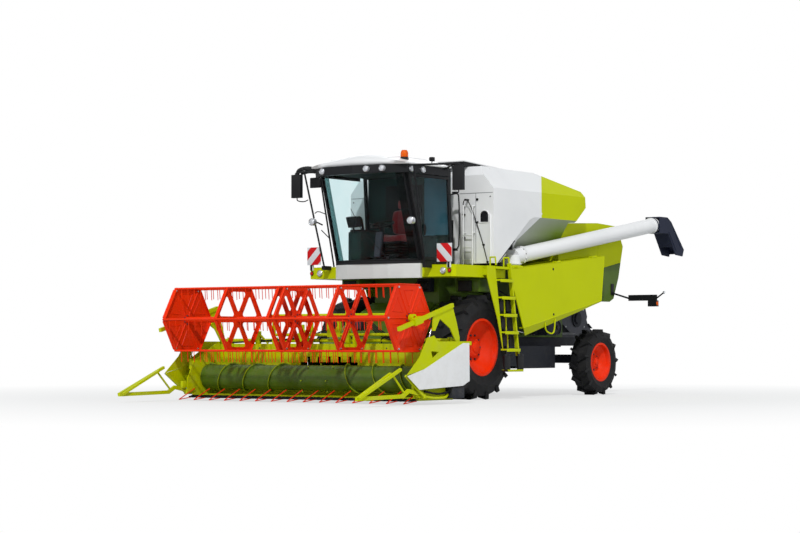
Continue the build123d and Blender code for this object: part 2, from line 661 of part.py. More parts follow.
def roof_front_face():
    """Front view of the roof: one arc from side to side."""
    left = (-ROOF_X, ROOF_FRONT_Y, ROOF_Z + 45)
    crown = (0, ROOF_FRONT_Y, ROOF_Z + ROOF_RISE)
    right = (ROOF_X, ROOF_FRONT_Y, ROOF_Z + 45)
    low_right = (ROOF_X, ROOF_FRONT_Y, ROOF_Z)
    low_left = (-ROOF_X, ROOF_FRONT_Y, ROOF_Z)
    edges = [ThreePointArc(left, crown, right), Line(right, low_right), Line(low_right, low_left),
             Line(low_left, left)]
    return Face(Wire([piece.edge() for piece in edges]))


roof_length = ROOF_REAR_Y - ROOF_FRONT_Y
nodes["cab_roof"] = Solid.extrude(roof_side_face(), Vector(2 * ROOF_X, 0, 0)) & Solid.extrude(
    roof_front_face(), Vector(0, roof_length, 0))

side_glass = along_x([
    (SCREEN_BOTTOM_Y + 68, SILL_Z), (DOOR_REAR_Y + 8, SILL_Z), (DOOR_REAR_Y - 92, SCREEN_TOP_Z + 2),
    (SCREEN_TOP_Y + 68, SCREEN_TOP_Z + 2),
], -CAB_X + 12, -CAB_X + 12 + GLASS)
rear_glass = block(-CAB_X + 50, CAB_X - 50, CAB_REAR_Y - 12, CAB_REAR_Y - 12 + GLASS, 2900, 3600)
nodes["cab_glass"] = grouped([side_glass, rear_glass])

door_lean = (SCREEN_TOP_Y - SCREEN_BOTTOM_Y) / (SCREEN_TOP_Z - SCREEN_BOTTOM_Z)


def door_front(z):
    return DOOR_HINGE_Y + door_lean * (z - SCREEN_BOTTOM_Z)


door_outline = [
    (door_front(DOOR_BOTTOM_Z), DOOR_BOTTOM_Z), (DOOR_REAR_Y - 10, DOOR_BOTTOM_Z),
    (DOOR_REAR_Y - 90, DOOR_TOP_Z), (door_front(DOOR_TOP_Z), DOOR_TOP_Z),
]
door_opening = [
    (door_front(DOOR_BOTTOM_Z + 45) + 48, DOOR_BOTTOM_Z + 45), (DOOR_REAR_Y - 60, DOOR_BOTTOM_Z + 45),
    (DOOR_REAR_Y - 132, DOOR_TOP_Z - 45), (door_front(DOOR_TOP_Z - 45) + 48, DOOR_TOP_Z - 45),
]
door_x = CAB_X + 6
door_frame = along_x(door_outline, door_x, door_x + 28) - along_x(door_opening, door_x - 1, door_x + 29)
door_tubes = []
for z in DOOR_HINGES:
    door_tubes.append(rod(on_door_hinge(z - 45), on_door_hinge(z + 45), 12))
    y = door_hinge_y(z)
    door_tubes.append(block(door_x + 8, door_x + 20, y - 28, y, z - 42, z + 42))
door_frame = fused([door_frame] + door_tubes)
for z in DOOR_HINGES:
    door_frame = door_frame - rod(on_door_hinge(z - 60), on_door_hinge(z + 60), 6 + RUNNING_GAP)
nodes["cab_door_frame"] = door_frame
nodes["cab_door_glass"] = along_x(door_opening, door_x + 10, door_x + 10 + GLASS)

seat = [
    block(-250, 250, -720, -250, 2560, 2680),
    block(-240, 240, -300, -200, 2680, 3250),
    block(-180, 180, -640, -320, SCREEN_BOTTOM_Z, 2562),
]
nodes["seat"] = fused(seat)
console = [
    block(-80, 80, -1040, -900, SCREEN_BOTTOM_Z, SCREEN_BOTTOM_Z + 60),
    rod((0, -975, SCREEN_BOTTOM_Z + 30), (0, -880, 2824), 45),
    Pos(0, -880, 2820) * Rot(20, 0, 0) * (Cylinder(200, 24) - Cylinder(176, 30)),
    Pos(0, -880, 2820) * Rot(20, 0, 0) * Box(360, 30, 18),
]
nodes["console"] = fused(console)

# Platform, bumper, ladder

PLATFORM_BOTTOM_Z = 1960.0
PLATFORM_TOP_Z = 2150.0
platform_plan = [
    (-1450, 180), (-1450, -900), (-1400, PLATFORM_FRONT_Y), (1400, PLATFORM_FRONT_Y), (1450, -900),
    (1450, 520), (1060, 520), (1060, 185),
    (900, 185), (900, -340), (-900, -340), (-900, 180),
]
shell = along_z(platform_plan, PLATFORM_BOTTOM_Z, PLATFORM_TOP_Z)
cab_mounts = [block(x - 60, x + 60, y - 60, y + 60, PLATFORM_TOP_Z, SCREEN_BOTTOM_Z - 49)
              for x in (-700, 700) for y in (-880, -420)]
nodes["platform"] = fused([shell, block(-BODY_X, BODY_X, -345, BODY_FRONT_Y, PLATFORM_BOTTOM_Z + 40, 2090)]
                          + cab_mounts)
bumper_plan = [
    (-840, -962), (-840, -1010), (-560, -1080), (-280, -1120), (0, -1132), (280, -1120), (560, -1080),
    (840, -1010),
    (840, -962),
]
nodes["bumper"] = along_z(bumper_plan, 1945, SCREEN_BOTTOM_Z - 50)

LADDER_X = 1560.0
LADDER_TOP = (70.0, 2200.0)
LADDER_LOW = (360.0, 480.0)
LADDER_DEEP = 400.0
LADDER_HANG = 700.0


def ladder_y(z):
    return LADDER_TOP[0] + (LADDER_TOP[1] - z) / (LADDER_TOP[1] - LADDER_LOW[1]) * (LADDER_LOW[0]
                                                                                    - LADDER_TOP[0])


ladder = []
straps = []
for offset in (0, LADDER_DEEP):
    ladder.append(bar((LADDER_X, ladder_y(LADDER_HANG) + offset, LADDER_HANG),
                      (LADDER_X, ladder_y(2200) + offset, 2200), 60, 36))
    straps.append(bar((LADDER_X, ladder_y(472) + offset, 472),
                      (LADDER_X, ladder_y(LADDER_HANG + 4) + offset, LADDER_HANG + 4), 50, 44))
    hoop = [(LADDER_X, ladder_y(2160) + offset, 2160), (LADDER_X, ladder_y(2160) + offset - 20, 2290),
            (LADDER_X - 97, ladder_y(2160) + offset - 20, 2290),
            (LADDER_X - 97, ladder_y(2160) + offset - 20, 2110)]
    for first, second in zip(hoop, hoop[1:]):
        ladder.append(rod(first, second, 13))
for z in (790, 1070, 1350, 1630, 1910):
    ladder.append(block(LADDER_X - 60, LADDER_X + 60, ladder_y(z), ladder_y(z) + LADDER_DEEP, z, z + 26))
ladder.append(block(1450, LADDER_X, ladder_y(2120), ladder_y(2120) + LADDER_DEEP, 2104, 2140))
fender_outline = [(-150, 1960), (-150, 2150), (ladder_y(2150) + 10, 2150), (ladder_y(750) + 10, 750),
                  (330, 750), (160, 1280)]
ladder.append(along_x(fender_outline, 1530, 1542))
ladder.append(block(1450, 1534, -140, 40, 2000, 2100))
foot = block(LADDER_X - 60, LADDER_X + 60, ladder_y(460) - 30, ladder_y(460) + LADDER_DEEP + 30, 446, 472)
nodes["ladder_straps"] = fused(straps + [foot]) - ladder[0] - ladder[4]
nodes["ladder"] = fused(ladder)

handrails = []
for x in (900, 1080):
    handrails.append(rod((x, 190, 2700), (x, 120, 2700), 12))
    handrails.append(rod((x, 190, 3140), (x, 120, 3140), 12))
    handrails.append(rod((x, 120, 2688), (x, 120, 3152), 12))
nodes["handrails"] = fused(handrails)

mirrors = []
for x in (1700, -1500):
    side = 1 if x > 0 else -1
    start = Vector(side * 940, -1440, 3702)
    x0, x1 = sorted((side * 920, side * 945))
    mirrors.append(block(x0, x1, -1449, -1432, 3686, 3718))
    end = Vector(x, -1200, 3704)
    mirrors.append(block(x - 95, x + 95, -1230, -1170, 3290, 3672))
    mirrors.append(rod(tuple(start), tuple(end), 16))
    mirrors.append(rod((x, -1200, 3660), (x, -1200, 3704), 16))
    knee = start + (end - start) * (0.08 if side > 0 else 0.6)
    mirrors.append(rod(tuple(knee), (side * 1000, -1120, 2160), 15))
    mirrors.append(block(side * 1000 - 30, side * 1000 + 30, -1145, -962, 2100, 2165))
mirrors.append(rod((-918, -1330, VISOR_BOTTOM_Z - 4), (-930, -945, PLATFORM_TOP_Z + 4), 14))
nodes["mirrors"] = fused(mirrors)
beacon = rod((700, -1250, 3800), (700, -1250, 3960), 42) - nodes["cab_roof"]
marker_lamps = []
for x in (1370, -1370):
    marker_lamps.append(rod((x, PLATFORM_FRONT_Y - 12, 2052), (x, PLATFORM_FRONT_Y, 2052), 30))
nodes["beacon"] = grouped([beacon] + marker_lamps)
boards = []
for side in (1, -1):
    boards.append(block(side * 1365 - 68, side * 1365 + 68, -1002, -990, 2190, 2480))
    boards.append(block(side * 1365 - 30, side * 1365 + 30, -990, -962, 2100, 2300))
nodes["warning_boards"] = fused(boards)

# Rear: chopper, lamp arms, hitch

chopper_outline = [
    (BODY_REAR_Y, 1250), (BODY_REAR_Y, 1640), (4250, 1640), (4430, 1560), (4500, 1380), (4400, 1130),
    (4180, 1060),
    (3900, 1100),
]
vane_outline = [(4300, 1420), (4480, 1440), (4600, 1210), (5040, 930), (5010, 890), (4690, 1010),
                (4340, 1100)]
VANE_COUNT = 9
VANE_PITCH = 150.0
chopper = [along_x(chopper_outline, -BODY_X, BODY_X)]
for index in range(VANE_COUNT):
    x = VANE_PITCH * (index - (VANE_COUNT - 1) / 2)
    chopper.append(along_x(vane_outline, x - 4, x + 4))
chopper.append(bar((-BODY_X, 4620, 1215), (BODY_X, 4620, 1215), 8, 150, side=(0, 0.53, 0.85)))
nodes["straw_chopper"] = fused(chopper)

lamp_arms = []
for side in (1, -1):
    x0, x1 = sorted((side * HOOD_X, side * (HOOD_X + 14)))
    lamp_arms.append(block(x0, x1, 4340, 4430, 1760, 1960))
    lamp_arms.append(rod((side * (HOOD_X + 30), 4385, 1790), (side * 1300, 4850, 1710), 16))
    x0, x1 = sorted((side * (HOOD_X + 12), side * (HOOD_X + 46)))
    lamp_arms.append(block(x0, x1, 4375, 4400, 1770, 1810))
    x0, x1 = sorted((side * 1290, side * 1850))
    lamp_arms.append(block(x0, x1, 4850, 4900, 1665, 1770))
    x0, x1 = sorted((side * 1690, side * 1860))
    lamp_arms.append(block(x0, x1, 4840, 4930, 1560, 1668))
    lamp_arms.append(rod((side * 1840, 4875, 1700), (side * 1995, 4875, 1805), 13))
    lamp_arms.append(Pos(side * 1998, 4875, 1807) * Sphere(24))
nodes["rear_lamp_arms"] = fused(lamp_arms)
jaw = fused([block(-70, 70, 4150, 4330, 720, 750), block(-70, 70, 4150, 4330, 830, 860),
             block(-70, 70, 4150, 4180, 720, 1000)])
jaw = jaw - rod((0, 4270, 700), (0, 4270, 900), 16)
nodes["chassis_frame"] = fused([nodes["chassis_frame"], jaw, block(-300, 300, 4120, 4150, 840, 1010)])

# Header

feeder_outline = [
    (-330, 1570), (-245, 1500), (-245, 1180), (-400, 1110), (-2030, 130), (-2060, 160), (-2060, 760),
    (-1900, 800),
]
feeder_hole = [
    (-335, 1555), (-240, 1488), (-240, 1196), (-405, 1124), (-2080, 125), (-2080, 745), (-1905, 785),
]
feeder = along_x(feeder_outline, -FEEDER_X, FEEDER_X) - along_x(feeder_hole, -FEEDER_X + 14, FEEDER_X - 14)
feeder_lugs = []
for side in (1, -1):
    for x in (LIFT_X - EYE_HALF - 6.5, LIFT_X + EYE_HALF + 6.5):
        feeder_lugs.append(block(side * x - 6, side * x + 6, -1545, -1455, 330, 500))
    x0, x1 = sorted((side * FEEDER_X, side * (BODY_X - 0.5)))
    feeder_lugs.append(ring(60, 0, x0, x1, *FEEDER_PIVOT))
    x0, x1 = sorted((side * FEEDER_X, side * (BODY_X + 30)))
    feeder_lugs.append(ring(TRUNNION, 0, x0, x1, *FEEDER_PIVOT))
nodes["feeder_house"] = fused([feeder] + feeder_lugs)

floor_outline = [
    (KNIFE_Y, 60), (KNIFE_Y, 74), (-2960, 84), (-2480, 116), (-2350, 200), (-2300, 330), (-2290, 760),
    (-2276, 760),
    (-2286, 320), (-2340, 185), (-2475, 102), (-2960, 70),
]
trough = [along_x(floor_outline, -HEADER_X, HEADER_X)]
trough.append(block(-HEADER_X, HEADER_X, -2282, -2120, 760, 900))
trough.append(block(-HEADER_X, HEADER_X, -2282, -2120, 90, 190))
for x in (-1500, -750, 710, 1460):
    trough.append(block(x, x + 40, -2282, -2140, 150, 800))
mouth = block(-560, 560, -2400, -2100, 195, 700)
GUARD_Y = -2190.0
GUARD_X = 1180.0
for z in (1040, 1345):
    trough.append(rod((-GUARD_X, GUARD_Y, z), (GUARD_X, GUARD_Y, z), 24))
for x in (-GUARD_X, -420, 420, GUARD_X):
    trough.append(bar((x, GUARD_Y, 880), (x, GUARD_Y, 1365), 50, 30))
trough_shape = fused(trough) - mouth
end_outline = [(-2990, 60), (-2100, 60), (-2060, 900), (-2420, 900), (-2960, 640), (-3120, 330),
               (-3120, 100), (-2990, 100)]
ends = [along_x(end_outline, HEADER_X - 12, HEADER_X), along_x(end_outline, -HEADER_X, -HEADER_X + 12)]
adapter = [block(-640, 640, -2125, -2060, 120, 190), block(-640, 640, -2125, -2060, 745, 860)]
lugs = []
for side in (1, -1):
    for x in (1200, 2160):
        lug_block = block(side * x - 12, side * x + 12, -2165, -2075, 898, 1000)
        lugs.append(lug_block
                    - rod((side * x - 20, ARM_PIVOT[0], ARM_PIVOT[1]),
                          (side * x + 20, ARM_PIVOT[0], ARM_PIVOT[1]), 30.05))
    x0, x1 = sorted((side * (HEADER_X - 2), side * (REEL_LIFT_X - 12)))
    lugs.append(block(x0, x1, -3010, -2950, 500, 660))
header = fused([trough_shape] + ends + adapter + lugs)
header = header - rod((-2300, AUGER_Y, AUGER_Z), (2300, AUGER_Y, AUGER_Z), 25 + RUNNING_GAP)
nodes["header_trough"] = header

shield_outline = [(-3490, 430), (-3050, 530), (-2040, 910), (-1880, 910), (-1870, 340), (-2050, 270),
                  (-3180, 230)]
shields = both_sides(along_x(shield_outline, DIVIDER_X + 75, DIVIDER_X + 89))
brackets = []
for side in (1, -1):
    for y, z in ((-2900, 350), (-2150, 400), (-2150, 800)):
        x0, x1 = sorted((side * HEADER_X, side * (DIVIDER_X + 76)))
        brackets.append(block(x0, x1, y - 20, y + 20, z - 20, z + 20))
nodes["header_shields"] = fused(shields + brackets)

gusset_outline = [(-3490, 440), (-3170, 700), (-2960, 990), (-2790, 1020), (-2690, 935), (-1800, 935),
                  (-1800, 880),
                  (-2040, 872), (-2900, 562)]
dividers = []
for side in (1, -1):
    x = side * DIVIDER_X
    dividers.append(bar((x, -4610, 122), (x, -3480, 140), 40, 56))
    dividers.append(bar((x, -3490, 138), (x, -3340, 215), 40, 56))
    dividers.append(bar((x, -3350, 215), (x, -2980, 150), 40, 56))
    dividers.append(bar((x + side * 24, -4590, 122), (x + side * 24, -3570, 528), 44, 40))
    dividers.append(bar((x - side * 24, -4560, 126), (x - side * 24, -3750, 470), 44, 34))
    dividers.append(bar((x, -3740, 455), (x, -3420, 160), 18, 26))
    dividers.append(bar((x + side * 50, -3480, 436), (x + side * 50, -3010, 118), 30, 34))
    dividers.append(block(x - 26 if side > 0 else x - 65, x + 65 if side > 0 else x + 26, -3040, -2990,
                          100, 160))
    x0, x1 = sorted((side * HEADER_X, side * (DIVIDER_X + 20)))
    dividers.append(block(x0, x1, -3090, -2990, 110, 190))
    x0, x1 = sorted((side * (DIVIDER_X + 69), side * (DIVIDER_X + 75)))
    gusset = along_x(gusset_outline, x0, x1) - along_x([(-2870, 790), (-2660, 780), (-2830, 690)], x0 - 5,
                                                       x1 + 5)
    dividers.append(gusset)
nodes["dividers"] = fused(dividers)

finger_pitch = 76.2
finger_count = 57
start = -finger_pitch * finger_count / 2
finger_outline = [(start, KNIFE_Y)]
for index in range(finger_count):
    x = start + finger_pitch * index
    finger_outline.append((x, KNIFE_Y - 60))
    finger_outline.append((x + finger_pitch * 0.32, KNIFE_Y - 60))
    finger_outline.append((x + finger_pitch * 0.5, KNIFE_Y - 150))
    finger_outline.append((x + finger_pitch * 0.68, KNIFE_Y - 60))
finger_outline.append((-start, KNIFE_Y - 60))
finger_outline.append((-start, KNIFE_Y))
nodes["knife_bar"] = along_z(finger_outline, KNIFE_Z, KNIFE_Z + 16)

lifters = []
for index in range(15):
    x = -2170 + 310 * index
    lifters.append(bar((x, -3052, 53), (x, -3330, 24), 14, 12))
    lifters.append(block(x - 7, x + 7, -3052, -3010, 47, KNIFE_Z))
    lifters.append(bar((x, -3335, 24), (x, -2960, 190), 12, 12))
nodes["crop_lifters"] = fused(lifters)


def flight(x0, x1, turns, hand, segments):
    """Helical flighting as one solid of short flat-sided steps around the core."""
    points = []
    for index in range(segments + 1):
        angle = hand * 2 * pi * turns * index / segments
        x = x0 + (x1 - x0) * index / segments
        for r, offset in ((AUGER_CORE - 4, -3), (AUGER_FLIGHT, -3), (AUGER_FLIGHT, 3), (AUGER_CORE - 4, 3)):
            points.append(Vector(x + offset, AUGER_Y + r * sin(angle), AUGER_Z + r * cos(angle)))
    faces = []

    def tri(a, b, c):
        faces.append(Face(Wire.make_polygon([points[a], points[b], points[c]])))

    for index in range(segments):
        a = 4 * index
        b = a + 4
        for i, j in ((0, 1), (1, 2), (2, 3), (3, 0)):
            tri(a + i, a + j, b + j)
            tri(a + i, b + j, b + i)
    tri(0, 2, 1)
    tri(0, 3, 2)
    last = 4 * segments
    tri(last, last + 1, last + 2)
    tri(last, last + 2, last + 3)
    return Solid(Shell(faces))


core_end = HEADER_X - 25
auger = [
    ring(AUGER_CORE, 0, -core_end, core_end, AUGER_Y, AUGER_Z),
    rod((-2235, AUGER_Y, AUGER_Z), (2235, AUGER_Y, AUGER_Z), 25),
    flight(-core_end + 20, -520, 3.2, 1, 58),
    flight(core_end - 20, 520, 3.2, 1, 58),
]
for index in range(12):
    angle = radians(60 * index + 20)
    x = -440 + 80 * index
    tip = (x, AUGER_Y + (AUGER_FLIGHT + 4) * sin(angle), AUGER_Z + (AUGER_FLIGHT + 4) * cos(angle))
    auger.append(bar((x, AUGER_Y, AUGER_Z), tip, 14, 14))
nodes["intake_auger"] = fused(auger)

# Reel arms and reel

arm_outline = [
    (-2080, 905), (-2160, 905), (-2330, 1130), (-2600, 1270), (-2725, 1090), (-2790, 1090), (-2770, 1350),
    (-2700, 1400),
    (-2270, 1470), (-2150, 1200), (-2080, 990),
]
arms = []
for side in (1, -1):
    x = side * ARM_X
    arms.append(along_x(arm_outline, x - 8, x + 8))
    arms.append(bar((x, -2260, 1476), (x, -3640, 1110), 50, 60))
    x0, x1 = sorted((side * (REEL_LIFT_X + 12.5), side * (ARM_X - 7)))
    arms.append(ring(16, 0, x0, x1, *REEL_LIFT_EYE))
    x0, x1 = sorted((side * (ARM_X - 9), side * 2150))
    arms.append(rod((x0, -2120, 950), (x1, -2120, 950), 30))
arms.append(rod((-2300, -2120, 950), (2300, -2120, 950), 30))
nodes["reel_arms"] = fused(arms)

REACH = Vector(0, -0.96663, -0.25617)
arm_mid_z = 1476 + (1110 - 1476) * (REEL_Y + 2260) / (-3640 + 2260)
slider = []
for side in (1, -1):
    x = side * ARM_X
    centre = Vector(x, REEL_Y, arm_mid_z)
    back = centre - REACH * 100
    front = centre + REACH * 100
    sleeve = bar(tuple(back), tuple(front), 90, 100) - bar(tuple(back - REACH * 5),
                                                           tuple(front + REACH * 5), 50.2, 60.2)
    x0, x1 = sorted((side * (ARM_X - 44), side * (ARM_X - 118)))
    slider.append(fused([sleeve, ring(58, 0, x0, x1, REEL_Y, REEL_Z)])
                  - ring(30, 0, x0 - 1 if side < 0 else x0 - 1, x1 + 1, REEL_Y, REEL_Z))
nodes["reel_bearings"] = grouped(slider)


def hexagon(corner, x):
    return [(REEL_Y + corner * cos(radians(60 * i)), REEL_Z + corner * sin(radians(60 * i)))
            for i in range(6)]


def star(x, thick, open_spans, lip_depth, lip_side):
    """One hexagonal plate of the reel with a turned lip; an open one keeps six spokes."""
    plate = along_x(hexagon(REEL_CORNER, x), x - thick / 2, x + thick / 2)
    x0, x1 = sorted((x, x + lip_side * lip_depth))
    lip = along_x(hexagon(REEL_CORNER, x), x0, x1) - along_x(hexagon(REEL_CORNER - REEL_LIP, x), x0 - 1,
                                                             x1 + 1)
    plate = fused([plate, lip])
    if not open_spans:
        return plate
    apex = SPOKE_HALF / sin(radians(30))
    outer = REEL_CORNER * cos(radians(30)) - STAR_RIM
    half = (outer - apex) * sin(radians(30)) / cos(radians(30))
    for index in range(6):
        mid = radians(60 * index + 30)
        along = Vector(0, cos(mid), sin(mid))
        across = Vector(0, -sin(mid), cos(mid))
        centre = Vector(x - thick, REEL_Y, REEL_Z)
        corners = [centre + along * apex, centre + along * outer + across * half,
                   centre + along * outer - across * half]
        window = Face(Wire.make_polygon(corners))
        window = window.fillet_2d(STAR_FILLET, window.vertices())
        plate = plate - Solid.extrude(window, Vector(2 * thick, 0, 0))
    return plate


reel = [ring(REEL_TUBE, 0, -REEL_END_X, REEL_END_X, REEL_Y, REEL_Z)]
star_table = (
    # x, open between spokes, lip depth, lip direction
    (-REEL_END_X, False, 46, 1), (-1090, True, 34, 1), (-70, True, 34, 1), (70, True, 34, -1),
    (1090, True, 34, -1),
    (REEL_END_X, False, 46, -1),
)
for x, open_spans, lip_depth, lip_side in star_table:
    reel.append(star(x, 12, open_spans, lip_depth, lip_side))
for side in (1, -1):
    reel.append(rod((side * REEL_END_X, REEL_Y, REEL_Z), (side * (ARM_X - 50), REEL_Y, REEL_Z), 29.95))
nodes["reel_frame"] = fused(reel)

bats = []
for index in range(6):
    angle = radians(60 * index)
    y = REEL_Y + (REEL_CORNER - 6) * cos(angle)
    z = REEL_Z + (REEL_CORNER - 6) * sin(angle)
    pieces = [rod((-REEL_END_X, y, z), (REEL_END_X, y, z), 16)]
    count = int(2 * (REEL_END_X - 60) / TINE_PITCH)
    first = -TINE_PITCH * (count - 1) / 2
    for tine in range(count):
        x = first + TINE_PITCH * tine
        for plate_row in star_table:
            if abs(x - plate_row[0] - plate_row[3] * 14) < 34:
                x += 46 * plate_row[3]
        pieces.append(bar((x, y, z), (x, y + 14, z - TINE_LENGTH), 8, 8))
    bats.append(fused(pieces))
nodes["reel_bats"] = grouped(bats)

# Cylinders

cylinder_table = (
    ("header_lift", LIFT_X, LIFT_BASE, LIFT_EYE, 38.0, 0.62, EYE_HALF),
    ("reel_lift", REEL_LIFT_X, REEL_LIFT_BASE, REEL_LIFT_EYE, 17.0, 0.80, 12.0),
)
for name, x_at, base, eye, bore, share, eye_half in cylinder_table:
    barrels = []
    bores = []
    rods = []
    length = hypot(eye[0] - base[0], eye[1] - base[1])
    along = ((eye[0] - base[0]) / length, (eye[1] - base[1]) / length)
    reach = length * share

    def spot(x, distance):
        return (x, base[0] + along[0] * distance, base[1] + along[1] * distance)

    for side in (1, -1):
        x = side * x_at
        barrel = fused([rod(spot(x, 0), spot(x, reach), bore),
                        ring(bore, 0, x - eye_half, x + eye_half, *base)])
        bores.append(rod(spot(x, bore + 20), spot(x, reach + 5), bore * 0.5 + RUNNING_GAP))
        if name == "header_lift":
            bores.append(ring(PIN_RADIUS + RUNNING_GAP, 0, x - 60, x + 60, *base))
        barrels.append(barrel)
        rods.append(fused([rod(spot(x, bore + 26), spot(x, length), bore * 0.5),
                           ring(bore * 0.8, 0, x - eye_half, x + eye_half, *eye)]))
    if name == "reel_lift":
        shape = fused([nodes["header_trough"]] + barrels)
    else:
        shape = grouped(barrels)
    for bore_rod in bores:
        shape = shape - bore_rod
    nodes["header_trough" if name == "reel_lift" else name + "_barrels"] = shape
    nodes[name + "_rods"] = grouped(rods)

# Unloading auger

root = Vector(*UNLOAD_ROOT)
tip = Vector(*UNLOAD_END)
span = tip - root
elbow_top = root + span.normalized() * 60
tube_shell = rod(tuple(root), tuple(tip), UNLOAD_RADIUS) - rod(tuple(root + span.normalized() * 200),
                                                               tuple(tip + span.normalized() * 5),
                                                               UNLOAD_RADIUS - 8)
turret = rod((UNLOAD_ROOT[0], UNLOAD_ROOT[1], TURRET_Z), (UNLOAD_ROOT[0], UNLOAD_ROOT[1], 2360),
             UNLOAD_RADIUS - 2)
nodes["unload_tube"] = fused([tube_shell, turret])
spout_outline = [(5380, 3192), (5660, 3192), (5800, 3120), (6290, 2620), (6240, 2500), (5980, 2520),
                 (5700, 2898), (5380, 2898)]
spout_inner = [(5300, 3174), (5655, 3174), (5785, 3105), (6265, 2615), (6250, 2450), (5990, 2480),
               (5715, 2916), (5300, 2916)]
spout = along_x(spout_outline, 1352, 1648) - along_x(spout_inner, 1371, 1629)
nodes["unload_spout"] = spout

os.makedirs("parts", exist_ok=True)
for name, shape in nodes.items():
    export_step(Pos(0, FRAME_Y, 0) * grouped([shape]), "parts/" + name + ".step")
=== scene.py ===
import json
from math import cos, pi, radians, sin

import bmesh
import bpy
from mathutils import Euler, Matrix, Vector


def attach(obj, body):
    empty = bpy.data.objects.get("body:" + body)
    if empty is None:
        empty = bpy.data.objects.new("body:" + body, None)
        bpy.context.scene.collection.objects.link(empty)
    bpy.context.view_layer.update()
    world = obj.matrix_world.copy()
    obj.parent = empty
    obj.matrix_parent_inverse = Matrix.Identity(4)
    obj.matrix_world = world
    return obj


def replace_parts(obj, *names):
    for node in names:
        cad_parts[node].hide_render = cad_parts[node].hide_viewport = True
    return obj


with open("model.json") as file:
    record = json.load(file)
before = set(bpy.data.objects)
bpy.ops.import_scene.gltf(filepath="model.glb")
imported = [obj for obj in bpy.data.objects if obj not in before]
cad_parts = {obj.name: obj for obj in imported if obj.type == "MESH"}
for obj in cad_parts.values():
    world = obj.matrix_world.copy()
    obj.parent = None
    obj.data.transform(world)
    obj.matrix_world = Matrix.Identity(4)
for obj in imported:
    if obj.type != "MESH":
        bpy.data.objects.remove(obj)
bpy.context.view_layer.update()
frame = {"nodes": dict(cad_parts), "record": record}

# The part's own source places things from the front axle.
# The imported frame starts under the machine's middle.
FRAME_Y = -0.85

# Camera fitted to the photograph: metres, degrees and millimetres
CAMERA_PLACE = (20.163, -29.419, 0.919)
CAMERA_TURN = 35.586
CAMERA_TILT = 2.046
CAMERA_LENS = 95.67

# Share of the white surroundings that shows in reflections, and how far the floor keeps its shadow
GLOSSY_SHARE = 0.4
FLOOR_NEAR, FLOOR_FAR = 5.0, 13.0
FLOOR_HALF = 150

scene = bpy.context.scene
scene.view_settings.view_transform = "Standard"


def place_object(name, data):
    made = bpy.data.objects.new(name, data)
    scene.collection.objects.link(made)
    return made


def clean_tree(owner):
    owner.use_nodes = True
    owner.node_tree.nodes.clear()
    return owner.node_tree


def node(tree, kind, **values):
    """A new node. A value whose name starts with in_ goes into the socket of that name."""
    made = tree.nodes.new(kind)
    for key, value in values.items():
        if key.startswith("in_"):
            made.inputs[key[3:].replace("_", " ")].default_value = value
        else:
            setattr(made, key, value)
    return made


def link(tree, source, target):
    tree.links.new(source, target)


def calc(tree, operation, *terms):
    """One step of arithmetic on numbers and sockets."""
    made = node(tree, "ShaderNodeMath", operation=operation)
    for socket, term in zip(made.inputs, terms):
        if isinstance(term, (int, float)):
            socket.default_value = term
        else:
            link(tree, term, socket)
    return made.outputs[0]


def principled(tree, **values):
    return node(tree, "ShaderNodeBsdfPrincipled", **values)


def mixed_shader(tree, share, first, second, output):
    made = node(tree, "ShaderNodeMixShader")
    for socket, source in zip(made.inputs, (share, first.outputs[0], second.outputs[0])):
        link(tree, source, socket)
    link(tree, made.outputs[0], node(tree, output).inputs[0])


def ramp(tree, source, low, high, to_low, to_high):
    made = node(tree, "ShaderNodeMapRange", in_From_Min=low, in_From_Max=high, in_To_Min=to_low,
                in_To_Max=to_high)
    link(tree, source, made.inputs["Value"])
    return made.outputs[0]


# Camera, floor and light

camera_data = bpy.data.cameras.new("camera")
camera_data.sensor_width = 36
camera_data.lens = CAMERA_LENS
camera_data.clip_end = 500
camera = place_object("camera", camera_data)
camera.location = CAMERA_PLACE
camera.rotation_euler = Euler((radians(90 + CAMERA_TILT), 0, radians(CAMERA_TURN)))
scene.camera = camera

scene.world = bpy.data.worlds.new("studio")
tree = clean_tree(scene.world)
rays = node(tree, "ShaderNodeLightPath").outputs
seen = calc(tree, "MAXIMUM", rays["Is Camera Ray"], rays["Is Transmission Ray"])
share = calc(tree, "MULTIPLY_ADD", rays["Is Glossy Ray"], GLOSSY_SHARE, seen)
ambient = node(tree, "ShaderNodeBackground", in_Color=(0.9, 0.95, 1.0, 1), in_Strength=0.42)
bright = node(tree, "ShaderNodeBackground", in_Color=(1, 1, 1, 1), in_Strength=1.0)
mixed_shader(tree, share, ambient, bright, "ShaderNodeOutputWorld")

floor_mesh = bpy.data.meshes.new("floor")
corners = [(x * FLOOR_HALF, y * FLOOR_HALF, 0) for x, y in ((-1, -1), (1, -1), (1, 1), (-1, 1))]
floor_mesh.from_pydata(corners, [], [(0, 1, 2, 3)])
floor = place_object("floor", floor_mesh)
floor_material = bpy.data.materials.new("floor")
tree = clean_tree(floor_material)
reach = node(tree, "ShaderNodeVectorMath", operation="LENGTH")
link(tree, node(tree, "ShaderNodeTexCoord").outputs["Object"], reach.inputs[0])
fade = ramp(tree, reach.outputs["Value"], FLOOR_NEAR, FLOOR_FAR, 0.62, 1.0)
share = calc(tree, "MULTIPLY", fade, node(tree, "ShaderNodeLightPath").outputs["Is Camera Ray"])
matte = node(tree, "ShaderNodeBsdfDiffuse", in_Color=(0.62, 0.63, 0.63, 1))
glow = node(tree, "ShaderNodeEmission", in_Color=(1, 1, 1, 1), in_Strength=1.0)
mixed_shader(tree, share, matte, glow, "ShaderNodeOutputMaterial")
floor_mesh.materials.append(floor_material)

